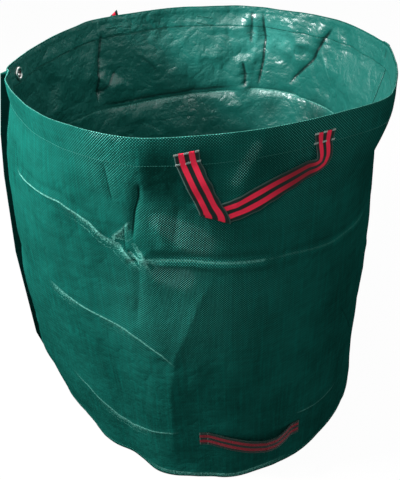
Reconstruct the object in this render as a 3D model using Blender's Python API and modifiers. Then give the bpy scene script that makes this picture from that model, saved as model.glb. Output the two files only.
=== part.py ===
"""A round garden waste bag that stands open by itself.

Two wall panels of woven plastic cloth are lapped and sewn at the left and right seams. Their top
edges are turned in over a springy hoop and sewn down as a hem, and a round base is sewn inside
their lower edges. Four webbing handles, two near the rim and two near the base, are sewn on at
their ends. Each handle's free strap swings on the line through its two sewn ends.

Metres, +Z up. The origin is the middle of the base on the ground, and the front faces -Y.
An azimuth is in degrees: 0 is the front, 90 the right side (+X), -90 the left.
"""
from functools import lru_cache
from math import atan2, cos, degrees, pi, radians, sin, tan

import bmesh
import bpy
from mathutils import Matrix, Vector

# The bag as a whole.
BAG_RADIUS = 0.335
BAG_HEIGHT = 0.760
CLOTH = 0.0010          # thickness of the laminated cloth
GAP = 0.0003            # air left between pieces that touch
CLOTH_GAP = 0.0006      # air between layers of cloth, measured towards the bag's middle line
LEFT_SEAM = -82.0       # azimuth of each side seam
RIGHT_SEAM = 95.0
LAP = 0.020             # width of cloth on cloth at a side seam
SEAM_ROWS = 0.008       # distance between a side seam's two rows of stitches
WALL_COLUMNS = 30       # facets along a panel, between its lapped edges

# The eyelet in the hem, beside the left seam.
EYELET_AZIMUTH = -92.8
EYELET_BORE = 0.013
EYELET_FLANGE = 0.025
EYELET_METAL = 0.0006
EYELET_MARGIN = 0.0005  # flat cloth round the eyelet
EYELET_SEGMENTS = 24

# The hem, and the flat hoop inside its top.
HEM_ALLOWANCE = 0.003   # cloth below the hem's stitching
HOOP_HEIGHT = 0.008
HOOP_THICKNESS = 0.0012
HOOP_END_GAP = 0.012    # each end stops this far short of the left seam
HEM_PINCH = 0.003       # height in which the hem closes up below the hoop

# The base, a tray whose upturned edge is sewn inside the wall.
BASE_FLANGE = 0.016
BASE_SEAM_HEIGHT = 0.009
WALL_FOOT = 0.0005      # the wall's cut edge clears the ground

# Thread, as it lies on the cloth.
THREAD = 0.0008

# Webbing handles. The azimuths are those of the front handles' middles.
WEB_WIDTH = 0.035
WEB = 0.0015            # thickness of the webbing
WEB_SEAT = 0.0006       # air between webbing and cloth
TOP_SPAN = 0.208        # between the sewn ends of a top handle
TOP_AZIMUTH = 14.0
TOP_TAB_DROP = 0.0235   # rim down to the sewn ends of a top handle
LOWER_SPAN = 0.174      # between the sewn ends of a lower handle
LOWER_AZIMUTH = 13.2
LOWER_HEIGHT = 0.128    # middle of a lower handle's left sewn end
BACK_TURN = 182.0       # from the front handles round to the back ones
TAB_LENGTH = 0.017      # sewn end of a strap
TAB_TILT = 8.0          # slope, in degrees, of the left sewn end of a top handle
TAB_ROWS = 3            # rows of stitches across a sewn end
TAB_MARGIN = 0.004      # webbing outside the stitches
RAISED_END = 0.0230     # the cut end of one back tab stands up past the rim
RAISED_CUT = 34.0       # and is cut at this slope, in degrees
AXIS_OUT = 0.008        # swing line outside the cloth at the sewn ends
AXIS_CLEAR = 0.0010     # strap starts this far from its sewn end

# The fold in a top handle's strap, from the left sewn end: along the wall, and down.
FOLD_ALONG = 0.0355
FOLD_DROP = 0.091
FOLD_STEPS = 4
CURL_ALONG = 0.178      # where the long leg starts to curl up to the right sewn end
CURL_DROP = 0.038
CURL_BULGE = 0.009      # the curl swings this far past the straight line to the sewn end

# A lower handle's strap: share of the span, then drop and stand-out.
LOWER_STRAP = (
    (0.00, 0.000, 0.000), (0.12, 0.005, 0.003), (0.28, 0.011, 0.009), (0.46, 0.018, 0.016),
    (0.62, 0.026, 0.019), (0.76, 0.031, 0.016), (0.90, 0.032, 0.007), (1.00, 0.031, 0.000),
)

# The front panel's lapped edge lies on the back panel.
LAP_LIFT = CLOTH + CLOTH_GAP

# The hem's inner layer and the hoop, measured from the middle of the outer layer.
HEM_CLOSED = CLOTH + CLOTH_GAP
HOOP_OUT = -(CLOTH + HOOP_THICKNESS) / 2 - GAP
FOLD_RADIUS = -HOOP_OUT
HOOP_TOP = BAG_HEIGHT - CLOTH / 2 - FOLD_RADIUS - LAP_LIFT
HOOP_BOTTOM = HOOP_TOP - HOOP_HEIGHT
EYELET_FLAT = EYELET_FLANGE + 2 * EYELET_MARGIN
EYELET_HEIGHT = HOOP_BOTTOM - HEM_PINCH - EYELET_FLAT / 2
HEM_TURNS = 4           # facets over the top of the hem

# The hem's stitches pass below the eyelet and the sewn ends of the top handles.
TOP_HEIGHT = BAG_HEIGHT - TOP_TAB_DROP - TAB_LENGTH
TAB_CORNER = TOP_HEIGHT - WEB_WIDTH / 2 * sin(radians(TAB_TILT))
HEM_SEAM_HEIGHT = min(EYELET_HEIGHT - EYELET_FLAT / 2, TAB_CORNER) - THREAD
HEM_EDGE = HEM_SEAM_HEIGHT - HEM_ALLOWANCE

# Heights of the level creases from the flat pack, the neck below the rim, and the hem's lower edge.
CREASES = tuple(share * HEM_EDGE for share in (0.0, 0.21, 0.53, 0.78, 0.90, 1.0))
CREASE_ROWS = (3, 3, 3, 2, 2)   # rows of facets from crease to crease

# Upright folds: azimuth at the base and at the rim, then how far the cloth stands outside (+)
# or inside (-) the bag's radius at each crease. The left side bags out and the right is drawn in.
FOLDS = (
    (-82, -82, (+0.029, +0.063, +0.063, +0.048, +0.036, +0.011)),
    (-57, -50, (-0.013, +0.008, +0.016, +0.014, +0.008, -0.001)),
    (-42, -41, (-0.012, -0.004, +0.004, +0.004, +0.003, +0.000)),
    (-32, -30, (-0.025, -0.015, -0.006, -0.002, -0.001, +0.001)),
    (-20, -16, (+0.003, +0.005, +0.003, +0.000, +0.001, +0.005)),
    (9, 10, (-0.003, -0.004, -0.002, -0.005, -0.008, -0.012)),
    (32, 33, (-0.006, -0.004, -0.003, -0.007, -0.008, -0.008)),
    (50, 52, (-0.012, -0.007, -0.004, -0.008, -0.004, +0.018)),
    (72, 68, (-0.002, -0.010, -0.006, -0.014, -0.018, +0.002)),
    (95, 95, (+0.001, -0.008, -0.004, -0.014, -0.016, +0.004)),
    (122, 126, (+0.001, -0.006, -0.004, +0.001, -0.002, +0.007)),
    (143, 143, (-0.002, -0.006, -0.008, +0.010, +0.004, +0.000)),
    (160, 160, (+0.001, -0.004, -0.002, -0.004, +0.000, +0.009)),
    (-170, -170, (+0.000, -0.004, -0.003, +0.005, +0.004, +0.005)),
    (-142, -138, (-0.002, -0.006, -0.006, +0.006, +0.004, +0.011)),
    (-112, -104, (+0.006, +0.015, +0.014, +0.008, +0.004, -0.006)),
)
FULLNESS = 0.45         # 0 is flat cloth between folds, 1 is fully rounded


def between(low, high, share):
    return low + (high - low) * share


def smooth(share):
    return share * share * (3 - 2 * share)


def arc(length):
    """The azimuth that a length along the wall spans."""
    return degrees(length / BAG_RADIUS)


def wall_rows():
    """Heights of the rows of facets in the plain wall: even steps from crease to crease."""
    rows = [WALL_FOOT, BASE_FLANGE]
    for low, high, steps in zip(CREASES, CREASES[1:], CREASE_ROWS):
        start = max(low, BASE_FLANGE)
        rows += [between(start, high, (i + 1) / steps) for i in range(steps)]
    return rows


def columns_of(first, last, extra=()):
    """Azimuths of a panel's facets: each lapped edge, the seam line, and even steps between."""
    lap = arc(LAP / 2)
    start, end = first + lap, last - lap
    even = [between(start, end, i / WALL_COLUMNS) for i in range(WALL_COLUMNS + 1)]
    step = (end - start) / WALL_COLUMNS
    even = [a for a in even if all(abs(a - b) > step * 0.4 for b in extra)]
    return sorted([first - lap, first, *even, *extra, last, last + lap])


WALL_ROWS = wall_rows()
EYELET_EDGES = [EYELET_AZIMUTH + 360 + side * arc(EYELET_FLAT / 2) for side in (-1, 1)]
FRONT_COLUMNS = columns_of(LEFT_SEAM, RIGHT_SEAM)
BACK_COLUMNS = columns_of(RIGHT_SEAM, LEFT_SEAM + 360, EYELET_EDGES)
RING_COLUMNS = FRONT_COLUMNS[1:-2] + BACK_COLUMNS[1:-2]


def at_height(values, height):
    """A fold's stand-out at a height, straight from crease to crease and upright in the hem."""
    for low, high, a, b in zip(CREASES, CREASES[1:], values, values[1:]):
        if height <= high:
            return between(a, b, max(0.0, (height - low) / (high - low)))
    return values[-1]


def chord(ra, rb, turn, width):
    """Radius of the straight line between two corners, at a turn in radians from the first."""
    return ra * rb * sin(width) / (ra * sin(turn) + rb * sin(width - turn))


def neighbours(stops, value):
    """The two stops, a full turn of them in order, that a value lies between."""
    for low, high in zip(stops, stops[1:]):
        if low[0] <= value <= high[0]:
            return low, high
    return stops[-2], stops[-1]


@lru_cache(maxsize=None)
def soft_radius(azimuth, height):
    """Distance from the bag's middle line to the wall, drawn from fold to fold."""
    share = min(1.0, height / BAG_HEIGHT)
    folds = sorted((between(base, rim, share) % 360, BAG_RADIUS + at_height(out, height))
                   for base, rim, out in FOLDS)
    folds = [(folds[-1][0] - 360, folds[-1][1])] + folds + [(folds[0][0] + 360, folds[0][1])]
    (a, ra), (b, rb) = neighbours(folds, azimuth % 360)
    share = (azimuth % 360 - a) / (b - a)
    flat = chord(ra, rb, radians(azimuth % 360 - a), radians(b - a))
    return between(flat, between(ra, rb, smooth(share)), FULLNESS)


def column_radius(azimuth, height):
    """The radius along one column of facets, straight from row to row."""
    for low, high in zip(WALL_ROWS, WALL_ROWS[1:]):
        if height <= high:
            share = max(0.0, (height - low) / (high - low))
            return between(soft_radius(azimuth, low), soft_radius(azimuth, high), share)
    return soft_radius(azimuth, WALL_ROWS[-1])


def wall_radius(azimuth, height):
    """The radius of the faceted wall, so that what lies on it follows its facets."""
    turn = (azimuth - RING_COLUMNS[0]) % 360 + RING_COLUMNS[0]
    stops = [(a, a) for a in RING_COLUMNS + [RING_COLUMNS[0] + 360]]
    (a, _), (b, _) = neighbours(stops, turn)
    return chord(column_radius(a, height), column_radius(b, height), radians(turn - a), radians(b - a))


def on_wall(azimuth, height, out=0.0):
    """A point of the wall, moved out from its mid-surface."""
    radius = wall_radius(azimuth, height) + out
    turn = radians(azimuth)
    return Vector((radius * sin(turn), -radius * cos(turn), height))


def material(name, color, roughness, metallic=0.0):
    finish = bpy.data.materials.new(name)
    finish.use_nodes = True
    surface = finish.node_tree.nodes["Principled BSDF"]
    surface.inputs["Base Color"].default_value = (*color, 1.0)
    surface.inputs["Roughness"].default_value = roughness
    surface.inputs["Metallic"].default_value = metallic
    return finish


def add_object(name, data, finish, collection):
    piece = bpy.data.objects.new(name, data)
    data.materials.append(finish)
    collection.objects.link(piece)
    return piece


def sheet(name, across, along, place, thickness, finish, collection):
    """A flat grid, as the piece is cut, bent to its place and then given its thickness.

    place(column, row) gives the mid-surface point of a corner of the grid."""
    bm = bmesh.new()
    bmesh.ops.create_grid(bm, x_segments=across, y_segments=along, size=1.0)
    for corner in bm.verts:
        column = round((corner.co.x + 1) / 2 * across)
        row = round((corner.co.y + 1) / 2 * along)
        corner.co = place(column, row)
    mesh = bpy.data.meshes.new(name)
    bm.to_mesh(mesh)
    bm.free()
    mesh.shade_smooth()
    mesh.set_sharp_from_angle(angle=radians(40))
    piece = add_object(name, mesh, finish, collection)
    solidify = piece.modifiers.new("thickness", "SOLIDIFY")
    solidify.thickness = thickness
    solidify.offset = 0.0
    solidify.use_even_offset = True
    return piece


def thread(name, points, finish, collection):
    """One line of thread, a square-sided curve through its points."""
    curve = bpy.data.curves.new(name, "CURVE")
    curve.dimensions = "3D"
    curve.bevel_depth = THREAD / 2
    curve.bevel_resolution = 0
    curve.use_fill_caps = True
    spline = curve.splines.new("POLY")
    spline.points.add(len(points) - 1)
    for knot, point in zip(spline.points, points):
        knot.co = (*point, 1.0)
    return add_object(name, curve, finish, collection)


def front_lift(azimuth):
    """The front panel's lapped edges are lifted onto the back panel."""
    lap = arc(LAP / 2) + 0.01
    lapped = abs(azimuth - LEFT_SEAM) < lap or abs(azimuth - RIGHT_SEAM) < lap
    return LAP_LIFT if lapped else 0.0


def back_lift(_azimuth):
    return 0.0


def hem_profile(lift):
    """Height and stand-out of each row, up the outside, over the hoop and down the inside."""
    rows = [(height, lift) for height in WALL_ROWS]
    rows.append((HOOP_BOTTOM - HEM_PINCH, lift))
    for i in range(HEM_TURNS + 1):
        turn = pi * i / HEM_TURNS
        radius = FOLD_RADIUS + lift
        rows.append((HOOP_TOP + radius * sin(turn), HOOP_OUT + radius * cos(turn)))
    rows.append((HOOP_BOTTOM - GAP, 2 * HOOP_OUT - lift))
    rows.append((HOOP_BOTTOM - HEM_PINCH, -HEM_CLOSED - lift))
    rows.append((HEM_EDGE, -HEM_CLOSED - lift))
    return rows


def wall_panel(name, columns, lift, finish, collection):
    def place(column, row):
        azimuth = columns[column]
        height, out = hem_profile(lift(azimuth))[row]
        return on_wall(azimuth, height, out)

    rows = len(hem_profile(0.0)) - 1
    return sheet(name, len(columns) - 1, rows, place, CLOTH, finish, collection)


def base_panel(finish, collection):
    """The flat base with its upturned edge, inside the wall."""
    bm = bmesh.new()
    ring = bmesh.ops.create_circle(bm, cap_ends=True, segments=len(RING_COLUMNS), radius=1.0)
    out = -HEM_CLOSED
    around = sorted(ring["verts"], key=lambda v: atan2(v.co.x, -v.co.y) % (2 * pi))
    for corner, azimuth in zip(around, sorted(a % 360 for a in RING_COLUMNS)):
        corner.co = on_wall(azimuth, 0.0, out)
        corner.co.z = CLOTH / 2
    edges = [edge for edge in bm.edges if edge.is_boundary]
    turned = bmesh.ops.extrude_edge_only(bm, edges=edges)["geom"]
    for corner in turned:
        if isinstance(corner, bmesh.types.BMVert):
            azimuth = degrees(atan2(corner.co.x, -corner.co.y))
            corner.co = on_wall(azimuth, BASE_FLANGE, out)
    bmesh.ops.recalc_face_normals(bm, faces=bm.faces)
    mesh = bpy.data.meshes.new("base_panel")
    bm.to_mesh(mesh)
    bm.free()
    piece = add_object("base_panel", mesh, finish, collection)
    solidify = piece.modifiers.new("thickness", "SOLIDIFY")
    solidify.thickness = CLOTH
    solidify.offset = 0.0
    solidify.use_even_offset = True
    return piece


def rim_hoop(finish, collection):
    """The springy strip in the hem. Its two ends stop short of the left seam."""
    start = LEFT_SEAM + arc(HOOP_END_GAP)
    end = LEFT_SEAM + 360 - arc(HOOP_END_GAP)
    columns = [a for a in FRONT_COLUMNS[:-2] + BACK_COLUMNS[1:] if start + 1 < a < end - 1]
    columns = [start, *columns, end]

    def place(column, row):
        return on_wall(columns[column], (HOOP_BOTTOM, HOOP_TOP)[row], HOOP_OUT)

    return sheet("rim_hoop", len(columns) - 1, 1, place, HOOP_THICKNESS, finish, collection)


def seam_threads(finish, collection):
    """Rows of thread on both faces of the hem, the base seam and the side seams."""
    lie = CLOTH / 2 + GAP + THREAD / 2
    panels = (("front", FRONT_COLUMNS[1:-1], front_lift), ("back", BACK_COLUMNS[3:-3], back_lift))
    for name, columns, lift in panels:
        for seam, height in (("hem", HEM_SEAM_HEIGHT), ("base", BASE_SEAM_HEIGHT)):
            outer = [on_wall(a, height, lie + lift(a)) for a in columns]
            inner_lift = lift if seam == "hem" else back_lift
            inner = [on_wall(a, height, -lie - HEM_CLOSED - inner_lift(a)) for a in columns]
            thread(f"{seam}_thread_{name}_outer", outer, finish, collection)
            thread(f"{seam}_thread_{name}_inner", inner, finish, collection)

    # The side seams' rows run from the base's flange up to the hem.
    heights = [h for h in WALL_ROWS if BASE_FLANGE < h < HEM_EDGE]
    heights = [BASE_FLANGE + 2 * THREAD, *heights, HEM_EDGE - 2 * THREAD]
    for seam, azimuth, front_side in (("left", LEFT_SEAM, 1), ("right", RIGHT_SEAM, -1)):
        for row, side in (("front", front_side), ("back", -front_side)):
            beside = azimuth + side * arc(SEAM_ROWS / 2)
            for face, out in (("outer", LAP_LIFT + lie), ("inner", -lie)):
                points = [on_wall(beside, h, out) for h in heights]
                thread(f"{seam}_seam_thread_{row}_{face}", points, finish, collection)


def eyelet_frame():
    """Origin on the cloth at the eyelet, with local Z pointing out of the bag."""
    low, high = (on_wall(a, EYELET_HEIGHT) for a in EYELET_EDGES)
    outward = (high - low).cross(Vector((0, 0, 1))).normalized()
    middle = (low + high) / 2
    across = Vector((0, 0, 1)).cross(outward)
    turn = Matrix((across, outward.cross(across), outward)).transposed()
    return Matrix.Translation(middle) @ turn.to_4x4()


def turned(name, profile, frame, finish, collection):
    """A ring turned from a closed profile of (radius, height) corners."""
    mesh = bpy.data.meshes.new(name)
    count = len(profile)
    mesh.from_pydata([(r, 0.0, z) for r, z in profile], [(i, (i + 1) % count) for i in range(count)], [])
    piece = add_object(name, mesh, finish, collection)
    screw = piece.modifiers.new("turn", "SCREW")
    screw.steps = screw.render_steps = EYELET_SEGMENTS
    screw.use_merge_vertices = True
    screw.merge_threshold = 0.00001
    piece.matrix_world = frame
    return piece


def eyelet(back, metal, collection, cutters):
    """A pressed metal eyelet: a flange inside the bag, a barrel, and a lip rolled over a washer."""
    frame = eyelet_frame()
    bore, barrel = EYELET_BORE / 2, EYELET_BORE / 2 + EYELET_METAL
    flange = EYELET_FLANGE / 2
    inside = -CLOTH / 2 - HEM_CLOSED - GAP
    outside = CLOTH / 2 + GAP
    washer_top = outside + EYELET_METAL
    lip = washer_top + GAP
    rolled = barrel + 2 * EYELET_METAL
    profile = (
        (rolled, lip + EYELET_METAL / 2), (rolled, lip), (barrel, lip), (barrel, inside),
        (flange, inside), (flange, inside - EYELET_METAL / 2),
        (between(bore, flange, 0.5), inside - 2 * EYELET_METAL),
        (bore, inside - EYELET_METAL), (bore, lip + EYELET_METAL),
    )
    turned("eyelet", profile, frame, metal, collection)
    hole = barrel + GAP
    washer = ((flange, washer_top), (flange, outside), (hole, outside), (hole, washer_top))
    turned("eyelet_washer", washer, frame, metal, collection)
    bm = bmesh.new()
    bmesh.ops.create_cone(bm, cap_ends=True, segments=EYELET_SEGMENTS, radius1=hole, radius2=hole,
                          depth=8 * HEM_CLOSED)
    mesh = bpy.data.meshes.new("eyelet_hole")
    bm.to_mesh(mesh)
    bm.free()
    cutter = bpy.data.objects.new("eyelet_hole", mesh)
    cutters.objects.link(cutter)
    cutter.matrix_world = frame
    cutter.hide_render = True
    cutter.display_type = "WIRE"
    cut = back.modifiers.new("eyelet hole", "BOOLEAN")
    cut.operation = "DIFFERENCE"
    cut.solver = "EXACT"
    cut.object = cutter


# The webbing's stand-out from the cloth: sewn down, and hanging past the hem's thread.
WEB_OUT = CLOTH / 2 + WEB_SEAT + WEB / 2
STRAP_OUT = CLOTH / 2 + THREAD + 2 * GAP + WEB / 2


def slope(line):
    return degrees(atan2(line.y, line.x))


def cross_line(place, out, angle, reach=WEB_WIDTH / 2):
    """A line across the strap: its middle, its stand-out, and its slope and half length."""
    return (place.x, place.y, out, angle, reach)


def top_strap_lines():
    """Cross lines along a top handle's strap, from its left sewn end to its right one.

    The short leg runs down to a flat fold and turns behind itself. The long leg runs up again and
    curls to the right sewn end. On flat webbing the fold's crease halves the angle of the legs."""
    fold = Vector((FOLD_ALONG, -FOLD_DROP))
    curl = Vector((CURL_ALONG, -CURL_DROP))
    end = Vector((TOP_SPAN, -AXIS_CLEAR))
    down = fold.normalized()
    up = (curl - fold).normalized()
    crease = (down + up).normalized()
    reach = WEB_WIDTH / 2 / abs(down.cross(crease))
    clear = reach * down.dot(crease) + WEB
    behind = STRAP_OUT
    front = behind + 2 * WEB
    across_down = slope(Vector((-down.y, down.x)))
    across_up = slope(Vector((up.y, -up.x)))

    lines = [cross_line(Vector((0.0, -AXIS_CLEAR)), STRAP_OUT, TAB_TILT)]
    for share in (0.12, 0.30, 0.50):
        eased = smooth(share / 0.50)
        out = between(STRAP_OUT, front, eased)
        lines.append(cross_line(fold * share, out, between(TAB_TILT, across_down, eased)))
    lines.append(cross_line(fold - down * clear, front, across_down))
    bend = (front - behind) / 2
    for step in range(FOLD_STEPS + 1):
        turn = pi * step / FOLD_STEPS
        place = fold + Vector((crease.y, -crease.x)) * bend * sin(turn)
        lines.append(cross_line(place, behind + bend + bend * cos(turn), slope(crease), reach))
    for share in (0.0, 0.2, 0.4, 0.6, 0.8, 1.0):
        place = (fold + up * clear).lerp(curl, share)
        lines.append(cross_line(place, behind + WEB * share, across_up))
    for share, stand in ((0.45, 2 * WEB), (0.75, WEB), (1.0, 0.0)):
        bulge = sin(pi * share) * CURL_BULGE
        place = curl.lerp(end, share) + Vector((bulge, -bulge))
        lines.append(cross_line(place, STRAP_OUT + stand, between(across_up, 0.0, smooth(share))))
    return lines


def lower_strap_lines():
    """Cross lines along a lower handle's strap, which hangs off the wall past its middle."""
    length = LOWER_SPAN - 2 * AXIS_CLEAR
    return [cross_line(Vector((AXIS_CLEAR + share * length, -drop)), STRAP_OUT + stand, -90.0)
            for share, drop, stand in LOWER_STRAP]


def zigzag(spot):
    """Stitches that run to and fro across a sewn end. spot(across, along) takes lengths."""
    half = WEB_WIDTH / 2 - TAB_MARGIN
    points = []
    for row in range(TAB_ROWS):
        along = between(TAB_MARGIN, TAB_LENGTH - TAB_MARGIN, row / (TAB_ROWS - 1))
        side = 1 if row % 2 else -1
        points += [spot(side * half * share, along) for share in (1, 1 / 3, -1 / 3, -1)]
    return points


def handle(name, turn, top, raised, webbing, sewing, collection):
    """One handle: its free strap, hung from an empty on the swing line, and two sewn ends."""
    span = TOP_SPAN if top else LOWER_SPAN
    start = turn + (TOP_AZIMUTH if top else LOWER_AZIMUTH) - arc(span / 2)
    level = TOP_HEIGHT if top else LOWER_HEIGHT
    lines = top_strap_lines() if top else lower_strap_lines()

    def beside_wall(place, out):
        return on_wall(start + arc(place.x), level + place.y, out)

    def place(column, row):
        along, rise, out, angle, reach = lines[row]
        across = Vector((cos(radians(angle)), sin(radians(angle))))
        return beside_wall(Vector((along, rise)) + across * (column - 1) * reach, out)

    # The swing line runs outside the cloth past both sewn ends, level with the strap's upper edge.
    left_foot = Vector((0.0, 0.0))
    right_foot = Vector((span, 0.0 if top else lines[-1][1]))
    upper_edge = Vector((0.0, 0.0 if top else WEB_WIDTH / 2))
    ends = [beside_wall(foot + upper_edge, 0.0) for foot in (left_foot, right_foot)]
    line = (ends[1] - ends[0]).normalized()
    outward = line.cross(Vector((0, 0, 1))).normalized()
    axis = bpy.data.objects.new(f"{name}_axis", None)
    collection.objects.link(axis)
    axis.location = (ends[0] + ends[1]) / 2 + outward * AXIS_OUT
    free = sheet(f"{name}_strap", 2, len(lines) - 1, place, WEB, webbing, collection)
    free.parent = axis
    free.matrix_parent_inverse = Matrix.Translation(-axis.location)
    print(f"{name} swing line: middle {tuple(round(c, 5) for c in axis.location)}"
          f" direction {tuple(round(c, 5) for c in line)}")

    # Each sewn end runs away from its foot, beside the end of the strap.
    tilt = radians(TAB_TILT)
    runs = {"left": Vector((-sin(tilt), cos(tilt))) if top else Vector((-1.0, 0.0)),
            "right": Vector((0.0, 1.0)) if top else Vector((1.0, 0.0))}
    for side, foot in (("left", left_foot), ("right", right_foot)):
        run = runs[side]
        cross = Vector((run.y, -run.x))
        rows = [0.0, TAB_LENGTH / 2, TAB_LENGTH]
        loose_end = raised and side == "right"
        if loose_end:
            rows.append(TAB_LENGTH + RAISED_END)

        def spot(across, along, out, foot=foot, run=run, cross=cross):
            return beside_wall(foot + run * along + cross * across, out)

        def corner(column, row, spot=spot, rows=rows, loose_end=loose_end):
            across = (column / 3 - 0.5) * WEB_WIDTH
            along = rows[row]
            if loose_end and row == len(rows) - 1:
                along -= across * tan(radians(RAISED_CUT))
            return spot(across, along, WEB_OUT)

        sheet(f"{name}_tab_{side}", 3, len(rows) - 1, corner, WEB, webbing, collection)
        outer = WEB_OUT + WEB / 2 + GAP + THREAD / 2
        inner = -(CLOTH / 2 + WEB_SEAT + THREAD / 2) - (HEM_CLOSED if top else 0.0)
        for face, out in (("outer", outer), ("inner", inner)):
            points = zigzag(lambda across, along, out=out, spot=spot: spot(across, along, out))
            thread(f"{name}_stitches_{side}_{face}", points, sewing, collection)


def main():
    for old in list(bpy.data.objects):
        bpy.data.objects.remove(old, do_unlink=True)
    bag = bpy.data.collections.new("garden_waste_bag")
    cutters = bpy.data.collections.new("cutters")
    bpy.context.scene.collection.children.link(bag)
    bpy.context.scene.collection.children.link(cutters)

    cloth = material("woven_cloth", (0.012, 0.115, 0.085), 0.32)
    webbing = material("webbing", (0.45, 0.02, 0.03), 0.75)
    sewing = material("thread", (0.02, 0.14, 0.10), 0.6)
    metal = material("eyelet_metal", (0.75, 0.75, 0.73), 0.25, metallic=1.0)
    plastic = material("hoop_plastic", (0.05, 0.05, 0.05), 0.5)

    wall_panel("front_panel", FRONT_COLUMNS, front_lift, cloth, bag)
    back = wall_panel("back_panel", BACK_COLUMNS, back_lift, cloth, bag)
    base_panel(cloth, bag)
    rim_hoop(plastic, bag)
    seam_threads(sewing, bag)
    eyelet(back, metal, bag, cutters)
    for place, turn in (("front", 0.0), ("back", BACK_TURN)):
        handle(f"top_{place}", turn, True, place == "back", webbing, sewing, bag)
        handle(f"lower_{place}", turn, False, False, webbing, sewing, bag)


main()
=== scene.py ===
# %% [markdown]
# # A garden waste bag that stands open
# The real bag is green plastic tape, woven and covered with a clear glossy film, then sewn into a
# tube with a round base. A springy hoop in the hem holds its mouth open.
# A measured model of it exists already. This lesson loads that model as a fixed frame, dresses it
# with cloth that creases, webbing, thread and metal, and lights it like a product picture.

# %% Load the measured model
from math import atan2, ceil, cos, hypot, pi, radians, sin

import bmesh
import bpy
import numpy as np
from mathutils import Matrix, Vector
from mathutils.bvhtree import BVHTree


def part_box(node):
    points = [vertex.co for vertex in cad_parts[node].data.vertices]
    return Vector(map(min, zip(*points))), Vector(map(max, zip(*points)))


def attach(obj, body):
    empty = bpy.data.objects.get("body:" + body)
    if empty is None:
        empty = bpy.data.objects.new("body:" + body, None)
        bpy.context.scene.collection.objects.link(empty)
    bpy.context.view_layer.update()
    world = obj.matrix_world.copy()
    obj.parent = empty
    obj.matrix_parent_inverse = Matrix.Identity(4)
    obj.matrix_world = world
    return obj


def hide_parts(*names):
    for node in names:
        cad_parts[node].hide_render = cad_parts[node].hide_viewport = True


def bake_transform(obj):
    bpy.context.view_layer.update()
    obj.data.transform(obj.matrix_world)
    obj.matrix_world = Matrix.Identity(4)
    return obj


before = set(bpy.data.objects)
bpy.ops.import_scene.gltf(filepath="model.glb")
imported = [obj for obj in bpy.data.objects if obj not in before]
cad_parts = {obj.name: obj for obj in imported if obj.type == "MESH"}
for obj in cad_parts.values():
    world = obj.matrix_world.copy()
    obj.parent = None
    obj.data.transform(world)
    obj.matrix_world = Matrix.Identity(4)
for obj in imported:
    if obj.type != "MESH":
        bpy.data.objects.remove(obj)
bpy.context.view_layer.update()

# %% [markdown]
# ## Camera
# The picture looks down into the bag from a little above head height of a child, and the camera
# leans slightly to one side. The bag's two ellipses, at the rim and at the base, fix where it stood.
# A camera can be aimed with a Track To constraint, but a written matrix keeps the lean exact.

# %% Stand the camera
PICTURE_LONG_SIDE = 480
FOCAL_LENGTH_PIXELS = 609
SENSOR = 36.0
CAMERA_IN_FRONT = 1.068
CAMERA_HEIGHT = 1.111
LOOK_DOWN = radians(35.1)
LOOK_LEFT = radians(0.8)
LEAN = radians(2.4)


def in_scene(name, data):
    """Makes an object of a camera, a lamp or a mesh and puts it in the scene."""
    made = bpy.data.objects.new(name, data)
    bpy.context.scene.collection.objects.link(made)
    return made


ahead = Vector((-sin(LOOK_LEFT) * cos(LOOK_DOWN), cos(LOOK_LEFT) * cos(LOOK_DOWN), -sin(LOOK_DOWN)))
right = ahead.cross(Vector((0, 0, 1))).normalized()
above = right.cross(ahead)
picture_right = right * cos(LEAN) - above * sin(LEAN)
picture_up = right * sin(LEAN) + above * cos(LEAN)

lens = bpy.data.cameras.new("camera")
lens.sensor_width = SENSOR
lens.lens = FOCAL_LENGTH_PIXELS / PICTURE_LONG_SIDE * SENSOR
camera = in_scene("camera", lens)
camera.matrix_world = Matrix.Translation((0, -CAMERA_IN_FRONT, CAMERA_HEIGHT)) @ Matrix(
    (picture_right, picture_up, -ahead)).transposed().to_4x4()
bpy.context.scene.camera = camera
bpy.context.scene.view_settings.view_transform = "Standard"
print("lens", round(lens.lens, 2), "mm")

# %% [markdown]
# ## Small helpers for materials
# A material here is a handful of nodes. These helpers add a node, set its inputs and join it to
# the ones before, so that each material below reads from its first node to its last.


# %% Material helpers
class Nodes:
    """Adds nodes to one material and links them."""

    def __init__(self, name):
        self.material = bpy.data.materials.new(name)
        self.material.use_nodes = True
        self.tree = self.material.node_tree
        self.surface = self.tree.nodes["Principled BSDF"]

    def add(self, kind, inputs=(), output=0, **settings):
        node = self.tree.nodes.new("ShaderNode" + kind)
        for setting, value in settings.items():
            setattr(node, setting, value)
        for socket, value in dict(inputs).items():
            self.put(node.inputs[socket], value)
        return node.outputs[output]

    def put(self, socket, value):
        if isinstance(value, bpy.types.NodeSocket):
            self.tree.links.new(value, socket)
        else:
            socket.default_value = value

    def math(self, operation, *values):
        return self.add("Math", enumerate(values), operation=operation)

    def times(self, first, second):
        return self.math("MULTIPLY", first, second)

    def field(self, name):
        """One of the maps that a mesh of cloth carries."""
        return self.add("Attribute", attribute_name=name, output=2)

    def mix(self, share, low, high):
        """Mixes two colours."""
        return self.add("Mix", {0: share, 6: low, 7: high}, output=2, data_type="RGBA")

    def ramp(self, value, low, high):
        """A smooth step from 0 to 1 as value goes from low to high."""
        inputs = {"Value": value, "From Min": low, "From Max": high}
        return self.add("MapRange", inputs, interpolation_type="SMOOTHSTEP")

    def set(self, **inputs):
        for name, value in inputs.items():
            self.put(self.surface.inputs[name.replace("_", " ")], value)


# %% [markdown]
# ## Floor, world and lamps
# The picture has a plain white ground and one strong soft light from the left, which also falls
# through the mouth onto the right inner wall. The front right side has only weak light from all
# round. An image of a studio could light this too, but three lamps and a plain world are easier to
# steer. The white is painted only where the camera or a shiny surface looks, so it adds no light.

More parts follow.
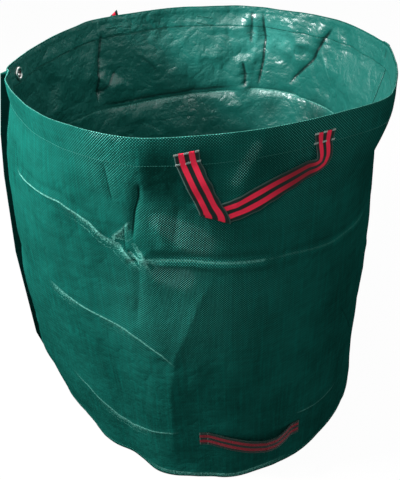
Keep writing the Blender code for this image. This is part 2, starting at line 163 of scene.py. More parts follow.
# %% Floor
FLOOR_SIZE = 9.0
BACKGROUND_SHARE = 0.965    # how much of the floor's look is plain white, the rest takes shadows
FLOOR_SEEN = (0.90, 0.90, 0.90, 1)
FLOOR_BOUNCE = (0.12, 0.12, 0.12, 1)    # what the floor gives back to the bag

floor_mesh = bpy.data.meshes.new("floor")
half = FLOOR_SIZE / 2
floor_corners = [(-half, -half, 0), (half, -half, 0), (half, half, 0), (-half, half, 0)]
floor_mesh.from_pydata(floor_corners, [], [(0, 1, 2, 3)])
floor = in_scene("floor", floor_mesh)


def seen_directly(tree):
    """1 for rays from the camera, from gloss and through glass, and 0 for light on a dull surface."""
    path = tree.nodes.new("ShaderNodeLightPath")
    seen = path.outputs["Is Camera Ray"]
    for ray in ("Is Glossy Ray", "Is Transmission Ray"):
        either = tree.nodes.new("ShaderNodeMath")
        either.operation = "MAXIMUM"
        tree.links.new(seen, either.inputs[0])
        tree.links.new(path.outputs[ray], either.inputs[1])
        seen = either.outputs[0]
    return seen


paper = Nodes("white floor")
seen = seen_directly(paper.tree)
paper.set(Base_Color=paper.mix(seen, FLOOR_BOUNCE, FLOOR_SEEN), Roughness=0.9, Specular_IOR_Level=0.0)
white = paper.add("Emission", {"Color": (1, 1, 1, 1), "Strength": 1.0})
share = paper.times(seen, BACKGROUND_SHARE)
blend = paper.add("MixShader", {0: share, 1: paper.surface.outputs[0], 2: white})
paper.tree.links.new(blend, paper.tree.nodes["Material Output"].inputs["Surface"])
floor_mesh.materials.append(paper.material)
print("floor is", FLOOR_SIZE, "m wide")

# %% World
FILL_LIGHT = 0.42

world = bpy.data.worlds.new("plain world")
bpy.context.scene.world = world
world.use_nodes = True
sky = world.node_tree
backdrop = sky.nodes["Background"]
backdrop.inputs["Color"].default_value = (1, 1, 1, 1)
strength = sky.nodes.new("ShaderNodeMapRange")
sky.links.new(seen_directly(sky), strength.inputs["Value"])
strength.inputs["To Min"].default_value = FILL_LIGHT
strength.inputs["To Max"].default_value = 1.0
sky.links.new(strength.outputs[0], backdrop.inputs["Strength"])
print("world gives", FILL_LIGHT, "of white from all round")

# %% Lamps
LAMPS_AIM_AT = Vector((0, 0, 0.4))


def lamp(name, azimuth, elevation, distance, size, watts):
    """A square soft light. Azimuth 0 is in front of the bag and -90 is at its left."""
    light = bpy.data.lights.new(name, "AREA")
    light.energy = watts
    light.size = size
    lit = in_scene(name, light)
    a, e = radians(azimuth), radians(elevation)
    away = Vector((sin(a) * cos(e), -cos(a) * cos(e), sin(e)))
    lit.location = LAMPS_AIM_AT + away * distance
    lit.rotation_mode = "QUATERNION"
    lit.rotation_quaternion = away.to_track_quat("Z", "Y")
    print(name, "gives", watts, "W from", distance, "m away")


lamp("window from the left", -72, 36, 1.5, 0.26, 36)
lamp("soft light from the front", -20, 40, 2.4, 1.2, 13)
lamp("weak light from behind", 150, 45, 2.6, 1.5, 14)

# %% [markdown]
# ## The wall's shape
# On the real bag the wall is stiff cloth that remembers its flat pack. The measured model has its
# outline in facets. A subdivision surface could round them, but it also pulls the wall inwards, so
# here rays are shot at the measured wall from outside and the distances are kept in a map of the
# wall: one row for each height and one column for each direction. Smoothing the map rounds the
# facets, and everything that lies on the wall reads its place from the same map.

# %% Map of the wall
CLOTH = 0.001               # thickness of the filmed cloth
BAG_RADIUS = 0.335          # mean radius, for lengths along the wall
AROUND = 840                # columns of the map
UP = 240                    # steps between its rows

hoop_low, hoop_high = (corner.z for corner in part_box("rim_hoop"))
azimuth_step = 360 / AROUND
height_step = hoop_high / UP
azimuths = np.arange(AROUND) * azimuth_step - 180
heights = np.arange(UP + 1) * height_step
length_around = radians(azimuth_step) * BAG_RADIUS


def combined_tree(*names):
    corners, faces = [], []
    for name in names:
        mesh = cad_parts[name].data
        faces += [[i + len(corners) for i in face.vertices] for face in mesh.polygons]
        corners += [v.co.copy() for v in mesh.vertices]
    return BVHTree.FromPolygons(corners, faces)


def measure_wall():
    """Distance from the bag's middle line to the middle of its cloth, for each direction and height."""
    tree = combined_tree("front_panel", "back_panel")
    found = np.zeros((AROUND, UP + 1))
    for i, azimuth in enumerate(np.radians(azimuths)):
        outward = Vector((sin(azimuth), -cos(azimuth), 0))
        for j, height in enumerate(heights):
            start = outward + Vector((0, 0, min(max(height, 2 * CLOTH), hoop_high - CLOTH)))
            spot = tree.ray_cast(start, -outward)[0]
            found[i, j] = hypot(spot.x, spot.y) - CLOTH / 2
    return found


measured_wall = measure_wall()
print("rays measured", measured_wall.size, "places on the wall")

# %% Round the facets
SOFTEN_AROUND, SOFTEN_UP = 0.014, 0.012     # how far they are rounded


def soften(field, around, up):
    """Blurs a map of the wall by a length along it and a length up it."""
    for axis, reach in ((0, around / length_around), (1, up / height_step)):
        count = ceil(3 * reach)
        weights = np.exp(-0.5 * (np.arange(-count, count + 1) / reach) ** 2)
        weights /= weights.sum()
        padding = [(0, 0), (0, 0)]
        padding[axis] = (count, count)
        wide = np.pad(field, padding, mode="wrap" if axis == 0 else "edge")
        size = field.shape[axis]
        parts = [np.take(wide, range(k, k + size), axis) * w for k, w in enumerate(weights)]
        field = sum(parts)
    return field


plain_wall = soften(measured_wall, SOFTEN_AROUND, SOFTEN_UP)
print("wall map", plain_wall.shape, "radius", plain_wall.min().round(3), "to", plain_wall.max().round(3))

# %% [markdown]
# ## Creases
# Filmed cloth keeps every fold as a sharp line. The bag has level creases from its flat pack,
# upright ones where it was rolled, and short ones where these meet. Each is drawn here as a line
# across the wall and a way to push the cloth. Sculpting would do it too, but a line can be moved
# and read again. A ridge stands out and a groove lies in, and a step does one above the line and
# the other below. Along a sharp fold the cloth is made pale, partly as the film's whitening and
# partly as painted sheen, and a tight groove gets painted shade. The maps keep how much, and how
# far the line is, so that the finish can draw it finer than the map's cells.

# %% List of creases
# Kind, push outward in mm, half width in mm, paleness, then the line as azimuth and height.
CREASES = (
    # Level, from the flat pack, across the left and the front.
    ("ridge", 2.6, 5, 1.0,
     ((-66, .625), (-58, .624), (-52, .624), (-42, .622), (-32, .601), (-28, .581), (-23.5, .570))),
    ("step", -1.2, 5, 0.0, ((-63, .632), (-52, .632), (-42, .630), (-32, .609), (-28, .589), (-24, .578))),
    ("step", -3.4, 7, 0.4, ((-17, .557), (-10.6, .553), (-4.2, .552), (3.3, .546), (11.4, .542), (20, .538))),
    ("step", -1.4, 7, 0.12, ((16, .539), (25, .537), (40, .527), (60, .530))),
    ("ridge", 2.0, 5, 0.9,
     ((-52, .425), (-42, .409), (-34, .397), (-26, .388), (-21, .376), (-15, .352), (-10.5, .322))),
    ("ridge", 1.8, 6, 0.8,
     ((-56, .185), (-48, .167), (-36, .120), (-30, .112), (-24, .125), (-16, .138), (-10, .146))),
    ("ridge", 1.4, 6, 0.4, ((29, .140), (36, .134), (43, .126), (52, .130))),
    # The hem's stitches draw the cloth in.
    ("groove", -2.2, 9, 0.0, ((-88, .716), (-74, .716), (-60, .716), (-45, .716), (-30, .716))),
    # Upright, in front.
    ("groove", -4.6, 5, 0.0, ((-16.2, .692), (-16.8, .663), (-18.4, .636), (-19.2, .610), (-19.6, .586))),
    ("groove", -3.0, 4, 0.0, ((-21.4, .618), (-22.2, .590), (-22.6, .556))),
    ("ridge", 1.6, 4, 0.8, ((-20.0, .618), (-22.5, .601), (-25.5, .585))),
    ("groove", -3.0, 5, 0.0, ((-25.4, .715), (-25.0, .680), (-24.4, .645))),
    ("groove", -2.4, 7, 0.0, ((-18.6, .538), (-19.8, .480), (-21.9, .401))),
    ("groove", -1.6, 6, 0.0, ((-19.2, .306), (-21.5, .230), (-23.7, .151))),
    ("ridge", 4.0, 18, 0.0,
     ((4.0, .545), (-2, .480), (-7, .400), (-10.8, .344), (-12.6, .250), (-13.4, .155), (-14, .03))),
    ("groove", -1.8, 5, 0.0, ((47, .360), (54, .300), (63, .225))),
    # Loose folds below the hem, in front.
    ("ridge", 2.8, 8, 0.0, ((-3.0, .660), (0.5, .625), (2.5, .590))),
    ("ridge", 3.0, 9, 0.0, ((10.5, .700), (9.5, .668), (6.5, .640))),
    ("groove", -2.4, 8, 0.0, ((-7.0, .650), (-8.0, .610), (-9.0, .575))),
    ("ridge", 2.0, 8, 0.0, ((-12.5, .640), (-12.0, .600), (-10.5, .570))),
    # The knot where the level and upright creases meet.
    ("ridge", 3.4, 4, 1.0, ((-23.6, .566), (-21.8, .556), (-20.4, .545))),
    ("ridge", 3.0, 4, 1.0, ((-20.0, .560), (-18.0, .553), (-16.2, .556))),
    ("groove", -3.0, 4, 0.0, ((-21.8, .566), (-20.2, .556), (-18.8, .542))),
    ("ridge", 2.2, 4, 0.9, ((-17.4, .566), (-16.4, .555), (-16.0, .545))),
    # Level, across the back. Seen from inside these are lit below and dark above, and the narrow groove just
    # above is painted dark as shade.
    ("ridge", 8.6, 10, 0.8,
     ((-136, .558), (-150, .548), (-162, .547), (-173, .549), (177, .557), (163, .563))),
    ("groove", 3.6, 5, 0.0,
     ((-136, .570), (-150, .560), (-162, .559), (-173, .561), (177, .569), (165, .574))),
    ("ridge", 7.0, 9, 0.9, ((163, .569), (157, .570), (151, .570), (145, .568), (139, .566))),
    ("ridge", 3.2, 5, 0.9, ((149, .570), (139, .566), (130, .565), (118, .566), (104, .560))),
    ("ridge", 1.6, 6, 0.5, ((-105, .560), (-120, .566), (-132, .560), (-142, .552))),
    ("ridge", 2.0, 8, 0.8,
     ((-100, .395), (-120, .402), (-140, .388), (-160, .392), (178, .383), (160, .388), (140, .380))),
    ("ridge", 1.8, 9, 0.7,
     ((-104, .150), (-125, .141), (-150, .152), (-175, .143), (160, .150), (138, .142), (112, .150))),
    ("ridge", 1.8, 8, 0.7, ((70, .392), (88, .386), (104, .390), (126, .384))),
    # Upright, across the back.
    ("groove", 6.0, 4, 0.0, ((125.4, .745), (129.4, .713), (134.3, .661), (141.8, .614), (144.5, .590))),
    ("groove", 3.8, 4, 0.0, ((159.7, .752), (159.7, .724), (160.2, .700), (160.1, .676))),
    ("groove", 5.4, 4, 0.0, ((155.4, .752), (155.0, .695), (155.2, .645), (156.2, .610), (157.4, .574))),
    ("groove", 4.6, 4, 0.0, ((163.2, .640), (162.2, .606), (162.4, .572))),
    ("ridge", -3.0, 10, 0.0, ((158.0, .745), (157.6, .700), (158.8, .650), (159.8, .600))),
    ("groove", 4.2, 11, 0.0, ((-141, .690), (-139.5, .660), (-137, .610), (-136.5, .570))),
    ("groove", 4.4, 5, 0.0, ((-141.5, .735), (-140, .690), (-138, .640), (-136.5, .575))),
    ("groove", 3.0, 5, 0.0, ((-146, .640), (-141, .612), (-136, .590))),
    ("ridge", -1.6, 3, 0.3, ((-140.4, .756), (-139.8, .724))),
    ("groove", 1.6, 4, 0.0, ((-155.5, .661), (-158.2, .649), (-162.5, .621))),
    ("ridge", -1.6, 4, 0.3, ((130.4, .690), (127.2, .660), (124.1, .630))),
    ("ridge", -1.8, 7, 0.0, ((113.4, .752), (110.8, .728), (107.8, .700))),
    ("groove", 2.4, 4, 0.0, ((93.6, .752), (94.8, .730))),
    # Beside the left seam.
    ("groove", -2.6, 4, 0.0, ((-67.2, .672), (-66.2, .650), (-64.8, .622))),
    ("groove", -3.4, 14, 0.0, ((-76, .700), (-75, .600), (-74.5, .480), (-75, .360))),
    ("ridge", 2.0, 10, 0.0, ((-70, .640), (-64, .560), (-66, .470), (-70, .400))),
    # Outside, at the back.
    ("groove", -3.0, 9, 0.0, ((178, .520), (-179, .440), (180, .330), (177, .230))),
    ("groove", -2.6, 9, 0.0, ((-122, .520), (-124, .430), (-121, .300), (-124, .200))),
    ("ridge", 2.6, 9, 0.0, ((-152, .690), (-149, .600), (-151, .480), (-147, .330), (-149, .180))),
    ("ridge", 2.4, 8, 0.0, ((118, .540), (121, .430), (119, .310), (122, .190))),
    # Along the base seam, in front: a pale line, with painted light below it.
    ("ridge", 0.8, 4, 0.6, ((-24, .018), (-8, .013), (8, .012), (26, .016))),
)


# %% Distance from a crease
def length_from(azimuth, start):
    """Metres along the wall from one direction to another, the short way round."""
    return ((azimuth - start + 180) % 360 - 180) * pi / 180 * BAG_RADIUS


def near_line(points, s, z):
    """How far each place is from a line, on which side, and how far along it from 0 to 1."""
    nearest = np.full(s.shape, 9.0)
    side = np.ones(s.shape)
    place = np.zeros(s.shape)
    lengths = [hypot(b[0] - a[0], b[1] - a[1]) for a, b in zip(points, points[1:])]
    total, run = sum(lengths), 0.0
    for (s0, z0), (s1, z1), length in zip(points, points[1:], lengths):
        share = np.clip(((s - s0) * (s1 - s0) + (z - z0) * (z1 - z0)) / length ** 2, 0, 1)
        ds, dz = s - s0 - share * (s1 - s0), z - z0 - share * (z1 - z0)
        distance = np.hypot(ds, dz)
        closer = distance < nearest
        nearest = np.where(closer, distance, nearest)
        place = np.where(closer, (run + share * length) / total, place)
        side = np.where(closer, np.sign((s1 - s0) * dz - (z1 - z0) * ds) * np.sign(s1 - s0 or 1), side)
        run += length
    return nearest, side, place


# %% [markdown]
# A crease pushes the cloth most at its line and less and less beside it. Towards its two ends it
# fades out, because a fold in film never stops at once.

# %% Draw the creases on the map
CREASE_TIP = 0.0007         # metres, how round the tip of a fold is
CREASE_ENDS = 0.16          # share of a crease over which it fades out at each end
CREASE_SPREAD = 6           # half widths from a line at which its push has died away
LINE_REACH = 0.02           # metres from a line at which its amount has faded out
TIGHT = 5                   # mm, the widest half width of a groove that gets painted shade
FULL_SHADE_PUSH = 5.0            # mm, the depth from which a groove's painted shade is as dark as it gets
relief = np.zeros_like(plain_wall)
pale, pale_line = np.zeros_like(plain_wall), np.full_like(plain_wall, LINE_REACH)
# Painted shade, for tight grooves and the left seam's free edge, and how far each place is from its line.
painted_shade, painted_shade_line = np.zeros_like(plain_wall), np.full_like(plain_wall, LINE_REACH)


def smooth(share):
    """Eases a share at 0 and at 1."""
    return share * share * (3 - 2 * share)


def record_line(amount, distance, columns, signed, new_amount):
    """Where this line is the nearest so far, its distance and its amount are kept."""
    closer = abs(signed) < abs(distance[columns])
    fading = np.clip(1 - (signed / LINE_REACH) ** 2, 0, 1)
    distance[columns] = np.where(closer, signed, distance[columns])
    amount[columns] = np.where(closer, new_amount * fading, amount[columns])


def draw_crease(kind, push, half_width, paleness, line):
    """Adds one crease to the maps."""
    middle = line[len(line) // 2][0]
    points = [(length_from(azimuth, middle), z) for azimuth, z in line]
    along = length_from(azimuths, middle)
    width = half_width / 1000
    first = min(s for s, z in points) - CREASE_SPREAD * width
    last = max(s for s, z in points) + CREASE_SPREAD * width
    columns = np.where((along > first) & (along < last))[0]
    nearest, side, place = near_line(points, *np.meshgrid(along[columns], heights, indexing="ij"))
    strength = smooth(np.clip(np.minimum(place, 1 - place) / CREASE_ENDS, 0, 1))
    if kind == "step":
        shape = side * nearest / width * np.exp(0.5 - 0.5 * (nearest / width) ** 2)
    else:
        shape = np.exp((CREASE_TIP - np.sqrt(nearest ** 2 + CREASE_TIP ** 2)) / width)
    relief[columns] += push / 1000 * shape * strength
    # A pale line is partly the film's whitening and partly painted sheen. A tight groove gets painted shade
    # instead: outside where it lies in, inside where it stands out.
    if paleness:
        record_line(pale, pale_line, columns, side * nearest, paleness * strength)
    elif kind == "groove" and half_width <= TIGHT:
        shade_amount = -np.sign(push) * min(1, abs(push) / FULL_SHADE_PUSH)
        record_line(painted_shade, painted_shade_line, columns, side * nearest, shade_amount * strength)


for crease in CREASES:
    draw_crease(*crease)
deepest, highest = (relief.min() * 1000).round(1), (relief.max() * 1000).round(1)
print(len(CREASES), "creases, from", deepest, "to", highest, "mm")

# %% [markdown]
# ## Crumple
# Between its creases the cloth is a patchwork of flat facets, as on any film that was folded
# small. Smooth noise looks like water and not like film, so random points with random heights are
# joined by flat triangles. Three sizes of facet are added up, and they are weaker where the hoop
# holds the hem taut.

# %% Maker of facets
SLIVER = 1e-6               # a triangle with less area than this, in cells of the map, is left out
HAIR = 1e-9                 # lets a triangle also take the cells right on its edges
JITTER = 0.34               # how far a corner may stray, as a share of a facet


def fill_triangle(field, corners):
    """Lays one flat triangle into the map."""
    (x0, y0, v0), (x1, y1, v1), (x2, y2, v2) = corners
    area = (x1 - x0) * (y2 - y0) - (x2 - x0) * (y1 - y0)
    if abs(area) < SLIVER:
        return
    xs = np.arange(int(np.floor(min(x0, x1, x2))), ceil(max(x0, x1, x2)) + 1)
    ys = np.arange(max(0, int(np.floor(min(y0, y1, y2)))), min(UP, ceil(max(y0, y1, y2))) + 1)
    if len(ys) == 0:
        return
    x, y = np.meshgrid(xs, ys, indexing="ij")
    w1 = ((x - x0) * (y2 - y0) - (x2 - x0) * (y - y0)) / area
    w2 = ((x1 - x0) * (y - y0) - (x - x0) * (y1 - y0)) / area
    inside = (w1 >= -HAIR) & (w2 >= -HAIR) & (w1 + w2 <= 1 + HAIR)
    level = v0 + w1 * (v1 - v0) + w2 * (v2 - v0)
    field[x[inside] % AROUND, y[inside]] = level[inside]


def facets(cell, push, seed):
    """Flat triangles between jittered points, each point pushed in or out at random."""
    random = np.random.default_rng(seed)
    columns = round(2 * pi * BAG_RADIUS / cell)
    rows = ceil(heights[-1] / cell) + 2
    wide = AROUND / columns
    tall = cell / height_step
    jitter = random.uniform(-JITTER, JITTER, (columns, rows, 2))
    value = random.normal(0, push, (columns, rows))
    field = np.zeros((AROUND, UP + 1))

    def corner(c, r):
        ring = c % columns
        stray_along, stray_up = jitter[ring, r]
        return (c + 0.5 * (r % 2) + stray_along) * wide, (r - 1 + stray_up) * tall, value[ring, r]

    for c in range(columns):
        for r in range(rows - 1):
            here, beside, over, across = (c, r), (c + 1, r), (c, r + 1), (c + 1, r + 1)
            if r % 2:
                triangles = (here, beside, across), (here, across, over)
            else:
                triangles = (here, beside, over), (beside, across, over)
            for triangle in triangles:
                fill_triangle(field, [corner(*spot) for spot in triangle])
    return field


# %% Crumple the map
FACETS = ((0.105, 0.0026, 3), (0.047, 0.0020, 5), (0.021, 0.0009, 8))   # size, push in metres, random seed
FACET_EDGE = 0.0020         # how far the facets' edges are rounded
CRUMPLED_SPOTS = ((-21, .56, .05, 2.6), (160, .68, .06, 1.8), (143, .68, .05, 1.4), (-60, .66, .06, 0.8),
                  (-140, .62, .05, 1.0), (180, .65, .09, 0.6), (125, .68, .08, 0.5),
                  (35, .35, .20, -0.55), (20, .62, .10, -0.5))
TAUT_HEM = 0.6              # share of the folds that the taut hem keeps
HOOP_PULL = 0.016           # the hoop holds this much of the cloth below it taut
FRONT_HALF = 85             # degrees either way from the front
FRONT_FADE = 30             # degrees over which the calm front gives way to the back
CALM_FRONT = 0.38           # the front was pulled smooth, the back less so


def spot_mask(spots):
    """1 everywhere, and more round each spot of azimuth, height, reach in metres and extra."""
    mask = np.ones_like(plain_wall)
    for azimuth, height, reach, extra in spots:
        s = length_from(azimuths, azimuth)
        away = (s[:, None] ** 2 + (heights[None, :] - height) ** 2) / reach ** 2
        mask += extra * np.exp(-away)
    return mask


crumple = soften(sum(facets(*kind) for kind in FACETS), FACET_EDGE, FACET_EDGE)
towards_back = np.clip((abs(azimuths) - FRONT_HALF + FRONT_FADE / 2) / FRONT_FADE, 0, 1)[:, None]
crumple *= CALM_FRONT + (1 - CALM_FRONT) * towards_back
crumple *= spot_mask(CRUMPLED_SPOTS)
towards_rim = np.clip((heights - hoop_low + HOOP_PULL) / HOOP_PULL, 0, 1)
looseness = 1 - (1 - TAUT_HEM) * smooth(towards_rim)
folded_wall = plain_wall + (crumple + relief) * looseness[None, :]
print("crumple", (crumple.std() * 1000).round(2), "mm on average")

# %% [markdown]
# ## The pinch at the left seam
# The bag was folded flat along its left seam, and there the cloth's free edge stands out like a
# fin. Both walls meet behind it, so beside the fin the wall is dented. The measured outline is that
# of the fin's edge.

# %% Dent the wall at the left seam
LEFT_SEAM, RIGHT_SEAM = -82.0, 95.0
SEAM_DENT = 0.0105
DENT_REACH_FRONT, DENT_REACH_BACK = 0.030, 0.016
DENT_AT = ((0.0, 0.2), (0.10, 0.9), (0.30, 1.3), (0.45, 1.1), (0.60, 1.0))     # height, and share of the dent
beside_seam = radians(1) * BAG_RADIUS * (azimuths - LEFT_SEAM)
dent_reach = np.where(beside_seam > 0, DENT_REACH_FRONT, DENT_REACH_BACK)
dent_share = np.interp(heights, *zip(*DENT_AT))
folded_wall -= SEAM_DENT * np.exp(-(beside_seam / dent_reach) ** 2)[:, None] * dent_share[None, :]
print("seam edge stands", SEAM_DENT * 1000, "mm out of the wall at most")

# %% [markdown]
# ## A flat seat for the eyelet
# The metal eyelet and its washer clamp the hem flat. Their place comes from the measured model, so
# round them the map goes back to the measured wall, without creases.

# %% Keep the cloth flat at the eyelet
eyelet_low, eyelet_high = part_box("eyelet_washer")
eyelet_middle = (eyelet_low + eyelet_high) / 2
EYELET_AZIMUTH = np.degrees(atan2(eyelet_middle.x, -eyelet_middle.y))
EYELET_REACH = 0.026
SEAT_STEEPNESS = 2.2        # the flat seat ends sooner and more clearly with a higher value
flat_spot = spot_mask(((EYELET_AZIMUTH, eyelet_middle.z, EYELET_REACH, 1.0),)) - 1
flat_spot = np.clip(flat_spot * SEAT_STEEPNESS, 0, 1)
folded_wall = folded_wall * (1 - flat_spot) + measured_wall * flat_spot
print("eyelet at", round(float(EYELET_AZIMUTH), 1), "degrees and", round(eyelet_middle.z, 3), "m up")

# %% [markdown]
# ## Places on the wall
# The map is finished. Cloth, thread and straps all ask it where the wall is, so they move together
# when a crease is changed. A Shrinkwrap modifier would find the wall as well, but only its nearest
# point, and a seam needs an exact height and direction.


# %% Read the map
def look_up(field, azimuth, height):
    """Reads a map between its rows and columns, for numbers or whole arrays."""
    column = (np.asarray(azimuth, float) + 180) / azimuth_step % AROUND
    row = np.clip(np.asarray(height, float) / height_step, 0, UP - 1e-6)
    c, r = np.floor(column).astype(int) % AROUND, np.floor(row).astype(int)
    u, v = column - np.floor(column), row - r
    d = (c + 1) % AROUND
    low = field[c, r] * (1 - u) + field[d, r] * u
    high = field[c, r + 1] * (1 - u) + field[d, r + 1] * u
    return low * (1 - v) + high * v


def on_wall(azimuth, height, out=0.0):
    """Points of the folded wall, moved out from the middle of its cloth."""
    azimuth, height, out = np.broadcast_arrays(*(np.asarray(v, float) for v in (azimuth, height, out)))
    radius = look_up(folded_wall, azimuth, height) + out
    turn = np.radians(azimuth)
    return np.stack((radius * np.sin(turn), -radius * np.cos(turn), height), axis=-1)


def arc(length):
    """Degrees round the bag for a length along its wall."""
    return np.degrees(length / BAG_RADIUS)


# %% [markdown]
# ## The two wall panels
# Each panel is one piece of cloth from the ground to the rim, over the hoop and down the inside to
# the hem's stitches. The front panel's side edges lie on the back panel's, sewn twice. A grid of
# points bent into place is the plain way to make cloth whose shape is known. Solidify then gives
# it two faces, and the grid's own measure becomes its UV map, so the weave keeps its real size.


# %% Cloth from a grid
def bent_cloth(name, points, flat, thickness, extra=None, skip=None, two_faced=False, film_from=None):
    """A sheet through a grid of points. flat holds each point's place on the uncut cloth, in metres.
    From the row film_from on, the sheet's second finish is on its outer face too."""
    columns, rows = points.shape[:2]
    index = np.arange(columns * rows).reshape(columns, rows)
    quads = np.stack((index[:-1, :-1], index[1:, :-1], index[1:, 1:], index[:-1, 1:]), axis=-1).reshape(-1, 4)
    row_of = np.tile(np.arange(rows - 1), columns - 1)
    if skip is not None:
        kept = ~skip(points.reshape(-1, 3)[quads].mean(axis=1))
        quads, row_of = quads[kept], row_of[kept]
    mesh = bpy.data.meshes.new(name)
    mesh.from_pydata(points.reshape(-1, 3).tolist(), [], quads.tolist())
    if film_from is not None:
        mesh.polygons.foreach_set("material_index", (row_of >= film_from).astype(np.int32))
    corner = np.zeros(len(mesh.loops), int)
    mesh.loops.foreach_get("vertex_index", corner)
    uv = mesh.uv_layers.new(name="cloth")
    uv.data.foreach_set("uv", flat.reshape(-1, 2)[corner].ravel().astype(np.float32))
    for label, values in (extra or {}).items():
        field = mesh.attributes.new(label, "FLOAT", "POINT")
        field.data.foreach_set("value", values.ravel().astype(np.float32))
    mesh.shade_smooth()
    piece = in_scene(name, mesh)
    solidify = piece.modifiers.new("thickness", "SOLIDIFY")
    solidify.thickness = thickness
    solidify.offset = 0.0
    solidify.material_offset = 1 if two_faced else 0
    return piece


# %% How the layers lie
DRAWN_CLOTH = CLOTH * 0.9   # drawn a little thinner than it is, so that layers don't touch
GAP = 0.0003                # between the hoop and the cloth round it
LAP_GAP = 0.0002            # between the two panels at a side seam
HEM_GAP = 0.0006            # between the wall and its turned-in layer
HEM_PRESS = 0.008           # the hem's edge is pressed flat over this height
HEM_EDGE_DEPTH = 0.00095    # just more than the drawn cloth, so that the hem's layers don't cut
HEM_PAST_SEAM = 0.003       # the turned-in layer runs on this far below its stitches
HOOP_EASE = 0.004           # height below the hoop over which the hem closes
LAP = 0.020
LAP_EASE = 0.004            # length beside a lap over which the cloth comes down to the wall
HOOP_THICKNESS = 0.0012
lap_lift = CLOTH + LAP_GAP
hoop_out = -(CLOTH + HOOP_THICKNESS) / 2 - GAP
hem_closed = CLOTH + HEM_GAP
hem_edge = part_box("hem_thread_front_inner")[0].z


def lapped(azimuth):
    """1 on the front panel's lapped edges, falling to 0 beside them."""
    beside = np.minimum(abs(azimuth - LEFT_SEAM), abs(azimuth - RIGHT_SEAM)) - arc(LAP / 2)
    return np.clip(1 - beside / arc(LAP_EASE), 0, 1)


def hem_pressed(height):
    """0 in the open hem, rising to 1 at its sewn edge."""
    return np.clip((hem_edge + HEM_PRESS - height) / HEM_PRESS, 0, 1)


def hem_depth(height):
    """How far behind the wall the turned-in layer lies, from one middle to the other."""
    return hem_closed - (hem_closed - HEM_EDGE_DEPTH) * hem_pressed(height)


print("hoop lies", round(-hoop_out * 1000, 2), "mm behind the wall, and the hem's edge",
      round(HEM_EDGE_DEPTH * 1000, 2), "mm")

# %% [markdown]
# ### The left seam's free edge
# At the left seam the cloth's free edge stands outward like a fin, painted dark as shade. Just
# below the rim it turns and lies along the wall, so that it can pass over the hoop. Its tip follows
# the measured outline. It could be a strip of its own, but as extra columns of the front panel's
# grid it needs no joint.

# %% Shape of the free edge
FIN = 0.009                 # how far it stands out where nothing else is measured
FIN_LEAST, FIN_MOST = 0.005, 0.018
FIN_PROUD = 0.001           # how far its tip goes past the measured outline
FIN_COLUMNS = 5
FIN_TWIST = 0.0032          # height below the rim over which it turns
FIN_LYING = 0.15            # share of the free edge that is left where it goes over the hoop
HEM_LINE_FROM = 0.64        # height from which the free edge runs straight up to the rim


def standing_share(height):
    """How far the left seam's free edge has turned outward. At the rim it lies down."""
    return smooth(np.clip((hoop_high - height) / FIN_TWIST, 0, 1))


def seam_tip(height):
    """Radius of the free edge's tip: the measured outline, and a straight line across the hem."""
    measured = look_up(measured_wall, LEFT_SEAM, height)
    ends = (HEM_LINE_FROM, hoop_high)
    across_hem = np.interp(height, ends, [look_up(measured_wall, LEFT_SEAM, end) for end in ends])
    return FIN_PROUD + (max(measured, across_hem) if height > HEM_LINE_FROM else measured)


print("free edge ends", round(float(seam_tip(hoop_high)), 3), "m from the middle at the rim")

# %% [markdown]
# ### Where the cloth is worn, and where light and shade are painted on it
# Hands wore the film thin on the hem and round the handles, so the open weave shows there, and
# where it is most open its floats are painted whiter as glints. Below some creases, where the cloth
# faces up, pale streaks are painted light. Some patches are painted darker than the cloth round
# them as shade, and two inside are painted paler as highlight. Each is a soft round spot on a map.
# They could be painted by hand, but a list of spots can be read and moved like the creases.

# %% Spots on the cloth
# Azimuth, height, reach in metres and strength.
# Worn open weave; where it is most open its floats are also painted whiter as glints.
WORN_AND_GLINT_SPOTS = (*((azimuth, .764, .018, 0.9) for azimuth in range(-26, 10, 6)), (-25, .715, .05, 0.6),
              (13, .735, .010, 0.9), (11.5, .720, .012, 0.9), (9.5, .702, .013, 0.9), (7.5, .684, .013, 0.9),
              (-13, .628, .028, 0.8), (-7, .605, .030, 0.9), (-1, .585, .035, 0.8), (28, .74, .10, 0.6),
              (-13, .528, .022, 0.7), (-7, .520, .022, 0.7), (0, .48, .11, 0.45), (-14, .44, .09, 0.45))
# Painted light: pale streaks below crease lines, where the cloth faces up, and along the base seam in front.
LIT_CREASE_SPOTS = ((-32, .600, .035, 1.0), (-25, .578, .030, 1.0), (-18, .550, .025, 1.0),
                 (-49, .418, .030, 1.0), (-28, .385, .03, 0.35), (-33, .115, .050, 1.0),
                 (150, .565, .06, 0.8), (-170, .548, .06, 0.8),
                 (-12, .010, .05, 1.0), (0, .010, .05, 1.0), (14, .010, .05, 1.0))
# Above 0 the cloth is painted darker as shade, and below 0 paler as highlight.
SHADE_AND_HIGHLIGHT_SPOTS = ((-11, .722, .030, 1.0), (-10.5, .685, .030, 1.0), (0, .720, .025, 0.8),
                 (16, .705, .040, 0.8), (9, .615, .055, 0.4), (158, .690, .045, -1.0),
                 (147, .700, .035, -0.9), (130, .530, .045, 0.9), (152, .530, .025, 0.6))
SHADE_EDGE = (-15.4, 0.6)   # the painted patches end sharply at this azimuth, within so many degrees
worn_and_glint = np.clip(spot_mask(WORN_AND_GLINT_SPOTS) - 1, 0, 1)
lit_below_crease = np.clip(spot_mask(LIT_CREASE_SPOTS) - 1, 0, 1)
shade_and_highlight = np.clip(spot_mask(SHADE_AND_HIGHLIGHT_SPOTS) - 1, -1, 1)
shade_and_highlight *= np.clip((azimuths - SHADE_EDGE[0]) / SHADE_EDGE[1], 0, 1)[:, None]
print(len(WORN_AND_GLINT_SPOTS), "worn,", len(LIT_CREASE_SPOTS), "scuffed and", len(SHADE_AND_HIGHLIGHT_SPOTS), "stained spots")

# %% [markdown]
# ### One panel, row by row
# The rows go up the wall, in half a turn over the hoop and down the inside to just below the hem's
# stitches. The maps of the finish are read at the same places and kept on the mesh.

